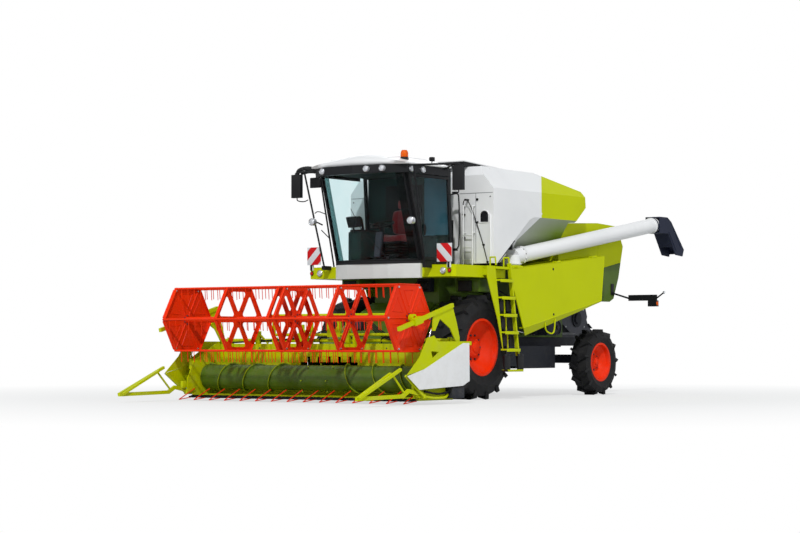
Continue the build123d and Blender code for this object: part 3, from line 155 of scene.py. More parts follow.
lights = (
    # name, kind, place, turn, strength, size
    ("sun", "SUN", (0, 0, 12), (50, 0, 30), 2.0, 2.5),
    ("fill_left", "AREA", (15, -3, 7), (62, 0, 80), 520.0, 9.0),
    ("fill_rear", "AREA", (-9, 12, 8), (60, 0, 215), 480.0, 9.0),
    ("fill_front", "AREA", (-3, -15, 6), (68, 0, -10), 260.0, 9.0),
)
for name, kind, spot, turn, energy, size in lights:
    lamp = bpy.data.lights.new(name, kind)
    lamp.energy = energy
    if kind == "SUN":
        lamp.angle = radians(size)
    else:
        lamp.shape = "SQUARE"
        lamp.size = size
    lamp_object = place_object(name, lamp)
    lamp_object.location = spot
    lamp_object.rotation_euler = Euler([radians(angle) for angle in turn])
    lamp_object.visible_camera = False
    lamp_object.visible_transmission = False


# Materials


def make_material(make, name, values):
    """A new material whose maker builds on the empty tree and each point's place."""
    material = bpy.data.materials.new(name)
    tree = clean_tree(material)
    make(tree, node(tree, "ShaderNodeTexCoord").outputs["Object"], *values)
    return material


def finish_material(tree, shader, tone, rough=None, height=None, strength=0.0, distance=0.0):
    """Joins tone, roughness and relief to the shader and the shader to the output."""
    link(tree, tone, shader.inputs["Base Color"])
    if rough is not None:
        link(tree, rough, shader.inputs["Roughness"])
    if height is not None:
        bump = node(tree, "ShaderNodeBump", in_Strength=strength, in_Distance=distance)
        link(tree, height, bump.inputs["Height"])
        link(tree, bump.outputs["Normal"], shader.inputs["Normal"])
    link(tree, shader.outputs[0], node(tree, "ShaderNodeOutputMaterial").inputs[0])


def noise(tree, place, scale, detail=4.0, rough=0.55):
    made = node(tree, "ShaderNodeTexNoise", in_Scale=scale, in_Detail=detail, in_Roughness=rough)
    link(tree, place, made.inputs["Vector"])
    return made.outputs["Fac"]


def waves(tree, place, directions, **values):
    """One wave pattern for each direction."""
    made = [node(tree, "ShaderNodeTexWave", bands_direction=direction, **values) for direction in directions]
    for wave in made:
        link(tree, place, wave.inputs["Vector"])
    return [wave.outputs["Fac"] for wave in made]


def axes(tree, output="Object"):
    """X, Y and Z of a point's place, or of the way that its surface faces."""
    split = node(tree, "ShaderNodeSeparateXYZ")
    link(tree, node(tree, "ShaderNodeTexCoord").outputs[output], split.inputs[0])
    return split.outputs


def blend_colour(tree, factor, first, second):
    made = node(tree, "ShaderNodeMix", data_type="RGBA")
    link(tree, factor, made.inputs[0])
    for index, value in ((6, first), (7, second)):
        if isinstance(value, tuple):
            made.inputs[index].default_value = value + (1,)
        else:
            link(tree, value, made.inputs[index])
    return made.outputs[2]


DUST = (0.3, 0.27, 0.22)


def sheen_paint(tree, coord, colour, shade, rough, dust_share=0.1, metallic=0.0, coat=0.03, gloss=0.22):
    """Sprayed paint: slow tone drift, orange peel, and dust low down."""
    tone = blend_colour(tree, ramp(tree, noise(tree, coord, 0.9, 3.0), 0.35, 0.65, 0.0, 1.0), colour, shade)
    low = ramp(tree, axes(tree)["Z"], 0.15, 1.5, 1.0, 0.12)
    patch = noise(tree, coord, 5.0, 8.0, 0.7)
    spots = ramp(tree, patch, 0.46, 0.74, 0.0, 1.0)
    dusty = calc(tree, "MULTIPLY", calc(tree, "MULTIPLY", low, spots), dust_share * 4)
    shader = principled(tree, in_Metallic=metallic, in_Coat_Weight=coat, in_Coat_Roughness=0.12,
                        in_Specular_IOR_Level=gloss)
    peel = calc(tree, "MULTIPLY_ADD", noise(tree, coord, 2.2, 2.0), 14.0, noise(tree, coord, 260.0, 2.0))
    finish_material(tree, shader, blend_colour(tree, dusty, tone, DUST),
                    ramp(tree, patch, 0.3, 0.7, rough * 0.8, rough * 1.35), peel, 0.16, 0.0012)


def rubber(tree, coord, colour, dusty, scale, rough, strength):
    """Rubber or moulded plastic: dusty smears over fine pits."""
    smear = noise(tree, coord, 3.5, 9.0, 0.7)
    tone = blend_colour(tree, ramp(tree, smear, 0.48, 0.78, 0.0, 0.55), colour, dusty)
    shader = principled(tree, in_Specular_IOR_Level=0.2)
    rougher = ramp(tree, smear, 0.3, 0.7, rough * 0.78, min(1.0, rough * 1.2))
    finish_material(tree, shader, tone, rougher, noise(tree, coord, scale, 5.0, 0.6), strength, 0.002)


def clear(tree, coord, colour, rough, smudge):
    """Tinted glass with faint smudges; its low index keeps the view into the cab free of a grey veil."""
    smear = noise(tree, coord, 2.5, 6.0, 0.65)
    shader = principled(tree, in_IOR=1.14, in_Transmission_Weight=1.0)
    paler = tuple(min(1.0, part * 1.25) for part in colour)
    tone = blend_colour(tree, ramp(tree, smear, 0.4, 0.8, 0.0, 0.35), colour, paler)
    finish_material(tree, shader, tone, ramp(tree, smear, 0.45, 0.8, rough, rough + smudge))


def lens(tree, coord, colour, second, metallic, coat=0.6):
    """Pressed lamp cover: fine prism ridges both ways over a bright bowl."""
    both = calc(tree, "MULTIPLY", *waves(tree, coord, "XZ", in_Scale=22.0))
    shader = principled(tree, in_Metallic=metallic, in_Coat_Weight=coat, in_Coat_Roughness=0.03,
                        in_Specular_IOR_Level=coat * 0.8)
    tone = blend_colour(tree, ramp(tree, both, 0.1, 0.8, 0.0, 1.0), second, colour)
    finish_material(tree, shader, tone, ramp(tree, both, 0.0, 1.0, 0.16, 0.3), both, 0.3, 0.002)


def stripes(tree, coord, lean):
    """Reflective warning foil: slanted red and white bands with a fine bead pattern."""
    place = axes(tree)
    bands = calc(tree, "PINGPONG", calc(tree, "MULTIPLY_ADD", place["X"], lean, place["Z"]), 0.145)
    pattern = node(tree, "ShaderNodeTexVoronoi", in_Scale=260.0)
    link(tree, coord, pattern.inputs["Vector"])
    beads = pattern.outputs["Distance"]
    red = blend_colour(tree, beads, (0.6, 0.003, 0.006), (0.5, 0.002, 0.004))
    pale = blend_colour(tree, beads, (0.74, 0.75, 0.77), (0.52, 0.54, 0.57))
    shader = principled(tree, in_Roughness=0.45, in_Specular_IOR_Level=0.2)
    tone = blend_colour(tree, ramp(tree, bands, 0.071, 0.074, 0.0, 1.0), red, pale)
    finish_material(tree, shader, tone, None, beads, 0.15, 0.0006)


def metal(tree, coord, colour, rough):
    """Brushed bare metal."""
    brush = noise(tree, coord, 60.0, 6.0, 0.6)
    darker = tuple(part * 0.72 for part in colour)
    tone = blend_colour(tree, ramp(tree, brush, 0.3, 0.7, 0.0, 1.0), colour, darker)
    shader = principled(tree, in_Metallic=1.0)
    finish_material(tree, shader, tone, ramp(tree, brush, 0.3, 0.7, rough * 0.7, rough * 1.4),
                    brush, 0.1, 0.001)


def woven(tree, coord, colour, second):
    """Woven seat cloth: threads three ways."""
    first, other, third = waves(tree, coord, "XYZ", in_Scale=70.0, in_Distortion=1.2)
    threads = calc(tree, "ADD", calc(tree, "ADD", first, other), third)
    shader = principled(tree, in_Roughness=0.9, in_Sheen_Weight=0.4)
    tone = blend_colour(tree, ramp(tree, threads, 0.8, 2.2, 0.0, 1.0), colour, second)
    finish_material(tree, shader, tone, None, threads, 0.5, 0.003)


LIME = (0.5, 0.56, 0.001)
materials = {}
for make, name, *values in (
    # sprayed paints: colour, shade, roughness, dust, metal, coat, gloss
    (sheen_paint, "lime_paint", LIME, (0.465, 0.52, 0.001), 0.36, 0.05, 0.0, 0.01, 0.05),
    (sheen_paint, "shell_green", (0.075, 0.135, 0.01), (0.058, 0.105, 0.009), 0.38, 0.04),
    (sheen_paint, "white_paint", (0.78, 0.78, 0.78), (0.73, 0.735, 0.74), 0.32, 0.05),
    (sheen_paint, "silver_paint", (0.66, 0.67, 0.66), (0.6, 0.61, 0.6), 0.36, 0.04, 0.2),
    (sheen_paint, "orange_paint", (0.8, 0.034, 0.002), (0.72, 0.026, 0.002), 0.4, 0.03, 0.0, 0.03, 0.1),
    (sheen_paint, "underbody_black", (0.012, 0.015, 0.023), (0.018, 0.02, 0.028),
     0.48, 0.03, 0.0, 0.03, 0.15),
    (sheen_paint, "black_frame", (0.006, 0.007, 0.008), (0.01, 0.01, 0.012), 0.42, 0.01, 0.0, 0.03, 0.18),
    (sheen_paint, "engine_iron", (0.12, 0.12, 0.125), (0.09, 0.09, 0.09), 0.6, 0.1, 0.0, 0.0),
    (sheen_paint, "grey_steel", (0.066, 0.068, 0.085), (0.042, 0.044, 0.056), 0.42, 0.05, 0.35),
    (metal, "chrome_rod", (0.72, 0.73, 0.75), 0.12),
    (clear, "cab_glass", (0.8, 0.91, 0.92), 0.01, 0.03),
    (lens, "lamp_glass", (0.8, 0.82, 0.85), (0.5, 0.52, 0.55), 0.45),
    (lens, "amber_lens", (0.9, 0.17, 0.003), (0.62, 0.08, 0.001), 0.0, 0.12),
    # rubbers and plastics: colour, dusty colour, size of the pits, roughness, depth
    (rubber, "black_plastic", (0.008, 0.008, 0.009), (0.022, 0.022, 0.022), 200.0, 0.5, 0.2),
    (rubber, "navy_rubber", (0.012, 0.016, 0.036), (0.03, 0.035, 0.05), 120.0, 0.55, 0.3),
    (woven, "seat_fabric", (0.34, 0.012, 0.016), (0.17, 0.006, 0.009)),
    (rubber, "tyre_rubber", (0.009, 0.009, 0.01), (0.035, 0.033, 0.03), 70.0, 0.62, 0.4),
):
    materials[name] = make_material(make, name, values)

# Finishes of single pieces that look their own way, each listed beside a record slot that the code carries
# but does not use
own_looks = {}
for slot, make, name, *values in (
    ("white_paint", stripes, "stripe_left", 1.0),
    ("white_paint", stripes, "stripe_right", -1.0),
    ("amber_lens", lens, "red_lens", (0.7, 0.035, 0.004), (0.4, 0.01, 0.003), 0.0, 0.12),
    ("black_plastic", rubber, "cab_lining", (0.018, 0.042, 0.04), (0.026, 0.056, 0.053), 160.0, 0.8, 0.3),
    ("black_plastic", rubber, "lining_blue", (0.075, 0.19, 0.26), (0.09, 0.23, 0.31), 160.0, 0.8, 0.3),
    ("cab_glass", clear, "edge_tint", (0.09, 0.19, 0.19), 0.01, 0.03),
):
    own_looks[name] = (slot, make_material(make, name, values))


def finish_solid(node_name, look):
    shape = frame["nodes"][node_name]
    shape.data.materials.clear()
    shape.data.materials.append(look)


for part in frame["record"]["subparts"]:
    finish_solid(part["node"], materials[part["material_slot"]])


def main_shader(tree):
    return next(item for item in tree.nodes if item.type == "BSDF_PRINCIPLED")


def two_tone_and_painted_light(node_name, base, second, low, high, source, metallic=None):
    """Copies a paint for one solid and lets a second colour take over along one measure of its surface; the
    shields get a second paint, the auger a painted highlight and the tank's slopes painted shade.
    """
    look = materials[base].copy()
    look.name = node_name + "_look"
    tree = look.node_tree
    shader = main_shader(tree)
    first = shader.inputs["Base Color"].links[0].from_socket
    factor = ramp(tree, source(tree), low, high, 0.0, 1.0)
    if callable(second):
        second = second(tree)
    link(tree, blend_colour(tree, factor, first, second), shader.inputs["Base Color"])
    if metallic is not None:
        link(tree, ramp(tree, source(tree), low, high, 0.0, metallic), shader.inputs["Metallic"])
    finish_solid(node_name, look)


AUGER_AXIS = (0, -2.62 + FRAME_Y, 0.372)


def auger_reach(tree):
    """Distance from the intake auger's axis, which marks the flights' outer edges for their painted
    highlight.
    """
    place = axes(tree)
    flat = node(tree, "ShaderNodeCombineXYZ")
    for axis in "YZ":
        link(tree, place[axis], flat.inputs[axis])
    reach = node(tree, "ShaderNodeVectorMath", operation="DISTANCE")
    reach.inputs[1].default_value = AUGER_AXIS
    link(tree, flat.outputs[0], reach.inputs[0])
    return reach.outputs["Value"]


def facing_down(tree):
    """How far the surface faces the ground; on the tank it marks the slopes that get painted shade."""
    return calc(tree, "MULTIPLY", axes(tree, "Normal")["Z"], -1.0)


def out_from_middle(tree):
    """Distance from the machine's middle plane, which tells the shields' inner faces from the outer ones."""
    return calc(tree, "ABSOLUTE", axes(tree)["X"])


def underside_sheet_and_shade(tree):
    """Painted shade on the tank's down-facing slopes: grey at the front and the top of the slope, partly bare
    sheet and partly painted shade, and dark olive, the lime paint in painted shade, where it comes down to
    the side panels.
    """
    place = axes(tree)
    rearward = ramp(tree, place["Y"], 1.25 + FRAME_Y, 2.35 + FRAME_Y, 0.0, 1.0)
    lower = ramp(tree, place["Z"], 3.18, 2.78, 0.0, 1.0)
    return blend_colour(tree, calc(tree, "MULTIPLY", rearward, lower), (0.38, 0.4, 0.35), (0.14, 0.22, 0.008))


two_tone_and_painted_light("header_shields", "white_paint", LIME, 2.346, 2.344, out_from_middle)
# Painted highlight: the outer edges of the auger's flights turn a lighter yellow-green.
two_tone_and_painted_light("intake_auger", "shell_green", (0.3, 0.38, 0.006), 0.208, 0.226, auger_reach)
# Painted shade: the tank's down-facing slopes turn grey and dark olive, partly bare sheet, partly painted
# shade.
two_tone_and_painted_light("tank_rear", "lime_paint", underside_sheet_and_shade, 0.22, 0.34, facing_down, 0.45)

# The tank's white front ends at an upright line on each flank, which leans inwards with the roof
FLANK_LEAN = 1.59
SHOULDER_X = 1.1
WHITE_LIMIT = 1.66 + FLANK_LEAN * 1.44 + FRAME_Y


def paint_split(node_name):
    """Carries the white of the tank's front over the lime solid up to the line, leaving the down-facing
    slopes in their painted shade.
    """
    tree = frame["nodes"][node_name].data.materials[0].node_tree
    place = axes(tree)
    shoulder = calc(tree, "MAXIMUM", calc(tree, "ABSOLUTE", place["X"]), SHOULDER_X)
    back = calc(tree, "MULTIPLY_ADD", shoulder, FLANK_LEAN, place["Y"])
    upward = ramp(tree, axes(tree, "Normal")["Z"], -0.3, -0.2, 0.0, 1.0)
    white = calc(tree, "MULTIPLY", ramp(tree, back, WHITE_LIMIT + 0.004, WHITE_LIMIT, 0.0, 1.0), upward)
    colour = main_shader(tree).inputs["Base Color"]
    link(tree, blend_colour(tree, white, colour.links[0].from_socket, (0.76, 0.765, 0.765)), colour)


paint_split("tank_rear")

# Piece building: everything of one body and one finish goes into one mesh

FRONT, REAR, UP = (0, -1, 0), (0, 1, 0), (0, 0, 1)
gathered = {}


def shift(point):
    return Vector((point[0], point[1] + FRAME_Y, point[2]))


def steps(first, pitch, count):
    return [first + pitch * index for index in range(count)]


def flip(side, points):
    """The same points on the machine's left, 1, or right, -1."""
    return [(side * x, y, z) for x, y, z in points]


def on_side(side, low, high):
    """A box's corners on the machine's left or right."""
    return (low, high) if side > 0 else ((-high[0], *low[1:]), (-low[0], *high[1:]))


def around(centre, along, radius, sides, normal=None):
    """Points of a ring about a centre."""
    if normal is None:
        normal = along.orthogonal().normalized()
    across = along.cross(normal)
    angles = [2 * pi * k / sides for k in range(sides)]
    return [centre + (normal * cos(angle) + across * sin(angle)) * radius for angle in angles]


class Batch:
    """All pieces of one body in one finish."""

    def __init__(self, body, slot):
        self.key = (body, slot)

    @property
    def mesh(self):
        if self.key not in gathered:
            gathered[self.key] = bmesh.new()
        return gathered[self.key]

    def box(self, low, high, round_by=0.006, turn=None):
        low, high = shift(low), shift(high)
        size = high - low
        matrix = Matrix.Translation((low + high) / 2)
        if turn:
            matrix = matrix @ Euler([radians(angle) for angle in turn]).to_matrix().to_4x4()
        matrix = matrix @ Matrix.Diagonal((*size, 1))
        made = set(bmesh.ops.create_cube(self.mesh, size=1.0, matrix=matrix)["verts"])
        edges = [edge for edge in self.mesh.edges if made.issuperset(edge.verts)]
        bmesh.ops.bevel(self.mesh, geom=edges, offset=min(round_by, min(size) * 0.45),
                        segments=2, affect="EDGES", profile=0.6)

    def skin(self, rings):
        """Joins rings of points one after the other and closes both ends."""
        mesh = self.mesh
        rings = [[mesh.verts.new(point) for point in ring] for ring in rings]
        faces = []
        for first, second in zip(rings, rings[1:]):
            for k in range(len(first)):
                after = (k + 1) % len(first)
                faces.append(mesh.faces.new([first[k], first[after], second[after], second[k]]))
        return faces + [mesh.faces.new(list(reversed(rings[0]))), mesh.faces.new(rings[-1])]

    def loft(self, rings):
        """A skin over rings that may run either way round, with its faces turned outwards."""
        faces = self.skin([[shift(point) for point in ring] for ring in rings])
        bmesh.ops.recalc_face_normals(self.mesh, faces=faces)

    def tube(self, points, radius, sides=8, smooth=0):
        """A bent tube through the points."""
        path = [shift(point) for point in points]
        for _ in range(smooth):
            eased = [path[0]]
            for first, second in zip(path, path[1:]):
                eased += [first.lerp(second, 0.25), first.lerp(second, 0.75)]
            path = eased + [path[-1]]
        rings = []
        normal = None
        for index, point in enumerate(path):
            along = (path[min(index + 1, len(path) - 1)] - path[max(index - 1, 0)]).normalized()
            if normal is None:
                normal = along.orthogonal().normalized()
            normal = (normal - along * normal.dot(along)).normalized()
            rings.append(around(point, along, radius, sides, normal))
        self.skin(rings)

    def turned(self, profile, centre, axis, sides=24):
        """Turns (along, radius) pairs about an axis through the centre."""
        along = Vector(axis).normalized()
        self.skin([around(shift(centre) + along * reach, along, radius, sides) for reach, radius in profile])

    def bolt(self, centre, axis, radius, height):
        self.turned(((0, radius * 1.25), (height * 0.2, radius * 1.25), (height * 0.2, radius),
                     (height * 0.9, radius), (height, radius * 0.8)), centre, axis, 6)


def batches(body, *slots):
    """One batch for each finish of a body."""
    return [Batch(body, slot) for slot in slots]


def make_piece(mesh, name, body, slot, look=None):
    """Turns a mesh into an object that rides on its body."""
    data = bpy.data.meshes.new(name)
    mesh.normal_update()
    mesh.to_mesh(data)
    mesh.free()
    data.materials.append(look or materials[slot])
    data.shade_smooth()
    piece = place_object(name, data)
    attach(piece, body)
    return piece


def release_pieces():
    """Makes the object of each batch that has been used."""
    for (body, look), mesh in gathered.items():
        piece = make_piece(mesh, f"detail_{body}_{look}", body, *own_looks.get(look, (look,)))
        piece.modifiers.new("edges", "EDGE_SPLIT").split_angle = radians(35)


chrome, lamp_cover, red, plastic, black, amber, lining = batches(
    "chassis", "chrome_rod", "lamp_glass", "red_lens", "black_plastic", "black_frame", "amber_lens",
    "cab_lining")
blue, steel, white, silver, dark, lime, green = batches(
    "chassis", "lining_blue", "grey_steel", "white_paint", "silver_paint", "underbody_black", "lime_paint",
    "shell_green")
reel_orange, reel_chrome, reel_steel = batches("reel", "orange_paint", "chrome_rod", "grey_steel")
door_plastic, door_frame = batches("cab_door", "black_plastic", "black_frame")
lid_white = Batch("tank_lid", "white_paint")
tube_white, tube_steel, tube_rubber = batches("unloader", "white_paint", "grey_steel", "navy_rubber")
header_green, header_steel, header_dark, header_frame = batches(
    "feeder_header", "shell_green", "grey_steel", "underbody_black", "black_frame")
header_lime, header_plastic, header_chrome = batches(
    "feeder_header", "lime_paint", "black_plastic", "chrome_rod")

# Wheels

wheel_table = (
    # axle, x, y, radius, disc face, bolt ring, bolts, bolt radius, cap face, cap radius
    ("front", 1.1, 0.0, 0.841, 0.056, 0.2, 10, 0.015, 0.11, 0.085),
    ("rear", 1.19, 3.786, 0.576, -0.004, 0.138, 8, 0.012, 0.05, 0.055),
)
wheels = [(f"wheel_{axle}_{hand}", side, *row)
          for axle, *row in wheel_table for side, hand in ((1, "left"), (-1, "right"))]
for body, side, x, y, radius, face, ring_radius, count, bolt, cap, cap_radius in wheels:
    for index in range(count):
        angle = 2 * pi * index / count
        spot = (side * (x + face), y + ring_radius * cos(angle), radius + ring_radius * sin(angle))
        Batch(body, "grey_steel").bolt(spot, (side, 0, 0), bolt, bolt * 1.5)
    domed = ((-0.004, cap_radius), (0.016, cap_radius * 0.96), (0.024, cap_radius * 0.7), (0.024, 0.001))
    Batch(body, "orange_paint").turned(domed, (side * (x + cap), y, radius), (side, 0, 0), 24)
    stem = radius * 0.36
    Batch(body, "black_plastic").tube([(side * (x + face - 0.01), y + stem, radius),
                                       (side * (x + face + 0.05), y + stem + 0.02, radius)], 0.008)

# Reel

REEL_Y, REEL_Z = -3.181, 1.276
REEL_CORNER = 0.566


def reel_point(x, radius, degrees_round):
    return (x, REEL_Y + radius * cos(radians(degrees_round)), REEL_Z + radius * sin(radians(degrees_round)))


star_planes = ((-2.15, -1), (-2.15, 1), (-1.09, -1), (-0.07, -1), (0.07, 1), (1.09, 1), (2.15, 1), (2.15, -1))
for x, side in star_planes:
    face = x + side * 0.006
    for index in range(6):
        turn = 60 * index
        reel_orange.tube([reel_point(face, 0.085, turn), reel_point(face, REEL_CORNER - 0.04, turn)], 0.012)
        reel_orange.tube([reel_point(face, REEL_CORNER - 0.012, turn + lead) for lead in (3, 57)], 0.01)
        # Only the end plates are closed, with a pressed triangle in each field
        if abs(x) > 2:
            corners = ((0.17, 30), (0.43, 13), (0.43, 47), (0.17, 30))
            reel_orange.tube([reel_point(face, radius, turn + lead) for radius, lead in corners], 0.007, 6)
        reel_chrome.bolt(reel_point(face, REEL_CORNER - 0.045, turn), (side, 0, 0), 0.016, 0.018)
    for index in range(6):
        reel_steel.bolt(reel_point(face, 0.065, 60 * index + 30), (side, 0, 0), 0.01, 0.012)

# Lamps and warning boards


def add_lamp(place, direction, radius):
    """Bright ring, bowl and domed cover on the front of a lamp's housing."""
    chrome.turned(((-0.01, radius), (0.006, radius), (0.009, radius * 0.93), (0.004, radius * 0.86),
                   (0.001, radius * 0.84)), place, direction, 28)
    lamp_cover.turned(((0.001, radius * 0.85), (0.007, radius * 0.7), (0.011, radius * 0.4),
                       (0.0125, 0.002)), place, direction, 28)


lamp_table = (
    # place, direction, radius
    ((0.27, -1.7, 3.656), FRONT, 0.05), ((0.56, -1.672, 3.656), FRONT, 0.05),
    ((-0.64, -1.65, 3.656), FRONT, 0.05),
    ((0.938, -1.38, 3.65), (1, 0, 0), 0.05), ((0.938, -1.06, 3.65), (1, 0, 0), 0.05),
    ((-0.938, -1.38, 3.65), (-1, 0, 0), 0.05), ((-0.938, -1.06, 3.65), (-1, 0, 0), 0.05),
    ((1.25, -0.978, 2.052), FRONT, 0.052), ((-1.2, -0.978, 2.052), FRONT, 0.052),
    ((0.87, -1.332, 2.84), FRONT, 0.06), ((-1.129, -1.286, 2.88), FRONT, 0.06),
)
for place, direction, radius in lamp_table:
    add_lamp(place, direction, radius)
for x in (1.37, -1.37):
    red.turned(((0.0, 0.029), (0.007, 0.027), (0.01, 0.018), (0.011, 0.002)), (x, -0.974, 2.052), FRONT, 24)
    plastic.turned(((-0.01, 0.034), (0.003, 0.034), (0.004, 0.03)), (x, -0.974, 2.052), FRONT, 24)

for side, look in ((1, "stripe_left"), (-1, "stripe_right")):
    Batch("chassis", look).box(*on_side(side, (1.155, -1.009, 2.19), (1.435, -1.003, 2.48)), 0.002)
    black.box(*on_side(side, (1.175, -1.003, 2.21), (1.415, -0.996, 2.46)), 0.002)
    black.box(*on_side(side, (1.345, -0.996, 2.1), (1.385, -0.974, 2.22)), 0.003)

# Beacon: dark foot and ribbed dome
BEACON_X, BEACON_Y = 0.7, -1.25
plastic.turned(((0, 0.066), (0.024, 0.068), (0.04, 0.064), (0.046, 0.056)), (BEACON_X, BEACON_Y, 3.806),
               UP, 32)
dome = ((0, 0.057), (0.004, 0.061), (0.06, 0.061), (0.08, 0.057), (0.097, 0.049), (0.1065, 0.043),
        (0.1098, 0.03), (0.11, 0.002))
amber.turned(dome, (BEACON_X, BEACON_Y, 3.85), UP, 36)
for z in (3.866, 3.888):
    amber.turned(((-0.003, 0.061), (0, 0.064), (0.003, 0.061)), (BEACON_X, BEACON_Y, z), UP, 36)

# Small camera on the tank's front edge with its bracket, and the second small mirror
plastic.box((0.885, -0.835, 3.8), (0.955, -0.765, 3.87), 0.012)
plastic.turned(((0, 0.022), (0.02, 0.022), (0.022, 0.016)), (0.92, -0.835, 3.835), FRONT, 20)
black.tube([(0.92, -0.8, 3.8), (0.9, -0.78, 3.76), (0.86, -0.74, 3.755)], 0.008, 8, 2)
plastic.box((-1.225, -1.215, 3.44), (-1.015, -1.18, 3.61), 0.014)
black.tube([(-1.1, -1.19, 3.59), (-1.09, -1.22, 3.64), (-1.02, -1.3, 3.68), (-0.95, -1.36, 3.685)],
           0.009, 8, 2)

# Mirror heads: rim, glass and clamp
for x in (1.7, -1.5):
    plastic.box((x - 0.095, -1.238, 3.29), (x + 0.095, -1.226, 3.672), 0.005)
    chrome.box((x - 0.082, -1.171, 3.305), (x + 0.082, -1.166, 3.657), 0.002)
    black.turned(((-0.03, 0.024), (0.03, 0.024)), (x, -1.2, 3.682), (1, 0, 0), 16)

# Moulded arms that carry the mirror heads
plastic.tube([(-0.93, -1.4, 3.69), (-1.05, -1.4, 3.745), (-1.28, -1.27, 3.765), (-1.47, -1.2, 3.745),
              (-1.5, -1.2, 3.665)], 0.034, 12, 2)
plastic.tube([(-0.94, -1.3, 3.66), (-1.16, -1.27, 3.7), (-1.4, -1.21, 3.68)], 0.018, 10, 1)
plastic.box((-0.99, -1.45, 3.655), (-0.92, -1.34, 3.74), 0.015)
plastic.turned(((-0.03, 0.04), (-0.025, 0.048), (0.025, 0.048), (0.03, 0.04)), (-1.26, -1.28, 3.755), UP, 20)
black.tube([(0.925, -0.4, 3.715), (1.1, -0.56, 3.735), (1.55, -1.06, 3.725), (1.69, -1.19, 3.685)],
           0.016, 10, 1)
black.box((0.905, -0.46, 3.69), (0.945, -0.34, 3.73), 0.006)
for side, x in ((1, 1.7), (-1, -1.5)):
    black.tube([(x, -1.2, 3.295), (x, -1.2, 3.24), (x - side * 0.14, -1.19, 3.22),
                (x - side * 0.22, -1.19, 3.25)], 0.009, 8, 2)
black.tube([(-1.135, -1.25, 2.88), (-1.08, -1.22, 2.88), (-0.985, -1.18, 2.83)], 0.012, 8, 1)
black.tube([(-0.925, -1.15, 3.0), (-1.06, -1.21, 3.06), (-1.1, -1.24, 3.02)], 0.008, 8, 1)
black.tube([(-0.925, -1.08, 2.62), (-1.02, -1.17, 2.75)], 0.008)

# The windscreen's foot, head, bow and half width
SCREEN_FOOT_Y, SCREEN_FOOT_Z = -1.01, 2.225
SCREEN_HEAD_Y, SCREEN_HEAD_Z = -1.44, 3.66
SCREEN_BOW, SCREEN_HALF = 0.13, 0.82


def screen_point(x, z, off):
    """A point just outside the bowed windscreen."""
    lean = (SCREEN_HEAD_Y - SCREEN_FOOT_Y) / (SCREEN_HEAD_Z - SCREEN_FOOT_Z)
    bow = SCREEN_BOW * (1 - (x / SCREEN_HALF) ** 2)
    return (x, SCREEN_FOOT_Y + lean * (z - SCREEN_FOOT_Z) - bow - off, z)


# Wiper: motor cap, arm and blade
black.turned(((-0.02, 0.026), (0.012, 0.026), (0.016, 0.018)), screen_point(0.3, 2.262, 0.004), FRONT, 20)
black.tube([screen_point(0.3, 2.262, 0.016), screen_point(0.1, 2.5, 0.024),
            screen_point(-0.14, 2.78, 0.018)], 0.006)
black.tube([screen_point(-0.02, 2.52, 0.008), screen_point(-0.14, 2.78, 0.009),
            screen_point(-0.26, 3.06, 0.008)], 0.005, 8, 1)

# Darker tint along the windscreen's curved ends: a thin sheet inside the glass
tint = Batch("chassis", "edge_tint")
for side in (-1, 1):
    rings = []
    for z in (2.25, 2.6, 2.95, 3.3, 3.62):
        out, back = ([screen_point(side * x, z, off) for x in (0.66, 0.7, 0.74, 0.775, 0.805)]
                     for off in (-0.016, -0.019))
        rings.append(out + back[::-1])
    tint.loft(rings)

# Screen frame strips along the glass edges and the door's handle
for side in (-1, 1):
    black.tube([screen_point(side * 0.812, 2.24, 0.002), screen_point(side * 0.812, 3.64, 0.002)], 0.016)
black.tube([screen_point(x, 2.236, 0.002) for x in (-0.8, -0.53, -0.27, 0.0, 0.27, 0.53, 0.8)], 0.014, 8, 1)
door_plastic.box((0.884, -0.985, 2.62), (0.893, -0.945, 2.8), 0.003)
door_frame.tube([(0.892, -0.965, 2.65), (0.916, -0.965, 2.66), (0.916, -0.965, 2.76), (0.892, -0.965, 2.77)],
                0.007, 8, 1)

# Cab inside: ceiling, rear lining with its dark pane, floor mat, arm rest and side console
lining.box((-0.8, -1.44, 3.63), (0.8, -0.16, 3.65), 0.006)
lining.box((-0.826, -0.15, 2.9), (0.826, -0.126, 3.625), 0.008)
plastic.box((-0.46, -0.158, 2.98), (0.28, -0.15, 3.5), 0.003)
blue.box((0.32, -0.158, 2.66), (0.82, -0.15, 3.6), 0.003)
lining.box((-0.78, -0.14, 2.24), (0.78, -0.112, 2.9), 0.008)
plastic.box((-0.79, -1.0, 2.226), (0.8, -0.16, 2.236), 0.002)
lining.box((-0.62, -0.98, 2.24), (-0.36, -0.2, 2.72), 0.03)
plastic.box((-0.6, -0.95, 2.72), (-0.38, -0.4, 2.75), 0.01)
plastic.tube([(-0.5, -0.72, 2.75), (-0.5, -0.76, 2.88), (-0.48, -0.8, 2.93)], 0.02, 12, 2)
plastic.box((-0.6, -1.06, 2.78), (-0.38, -1.0, 2.96), 0.012, (18, 0, -14))
black.tube([(-0.49, -0.98, 2.7), (-0.49, -1.02, 2.84)], 0.016, 10)
plastic.turned(((-0.02, 0.052), (0.018, 0.052), (0.026, 0.04)), (0, -0.88, 2.82), (0, 0.342, 0.94), 24)
steel.box((-0.06, -1.015, 2.28), (0.06, -0.955, 2.7), 0.02, (-8, 0, 0))
for x in (-0.16, 0.16):
    plastic.box((x - 0.05, -1.07, 2.262), (x + 0.05, -0.98, 2.282), 0.004, (22, 0, 0))

# Roof: one crowned moulding with a rolled edge, in place of the plain solid

ROOF_STEPS = 28
ROOF_HALF = 0.935
ROOF_BOW = 0.105
ROOF_FOOT_Z = 3.7225
ROOF_RIM_Z = 3.74
ROOF_CROWN = 0.214
ROOF_MIDDLE_Y = -0.96
ROOF_HALF_DEPTH = 0.69


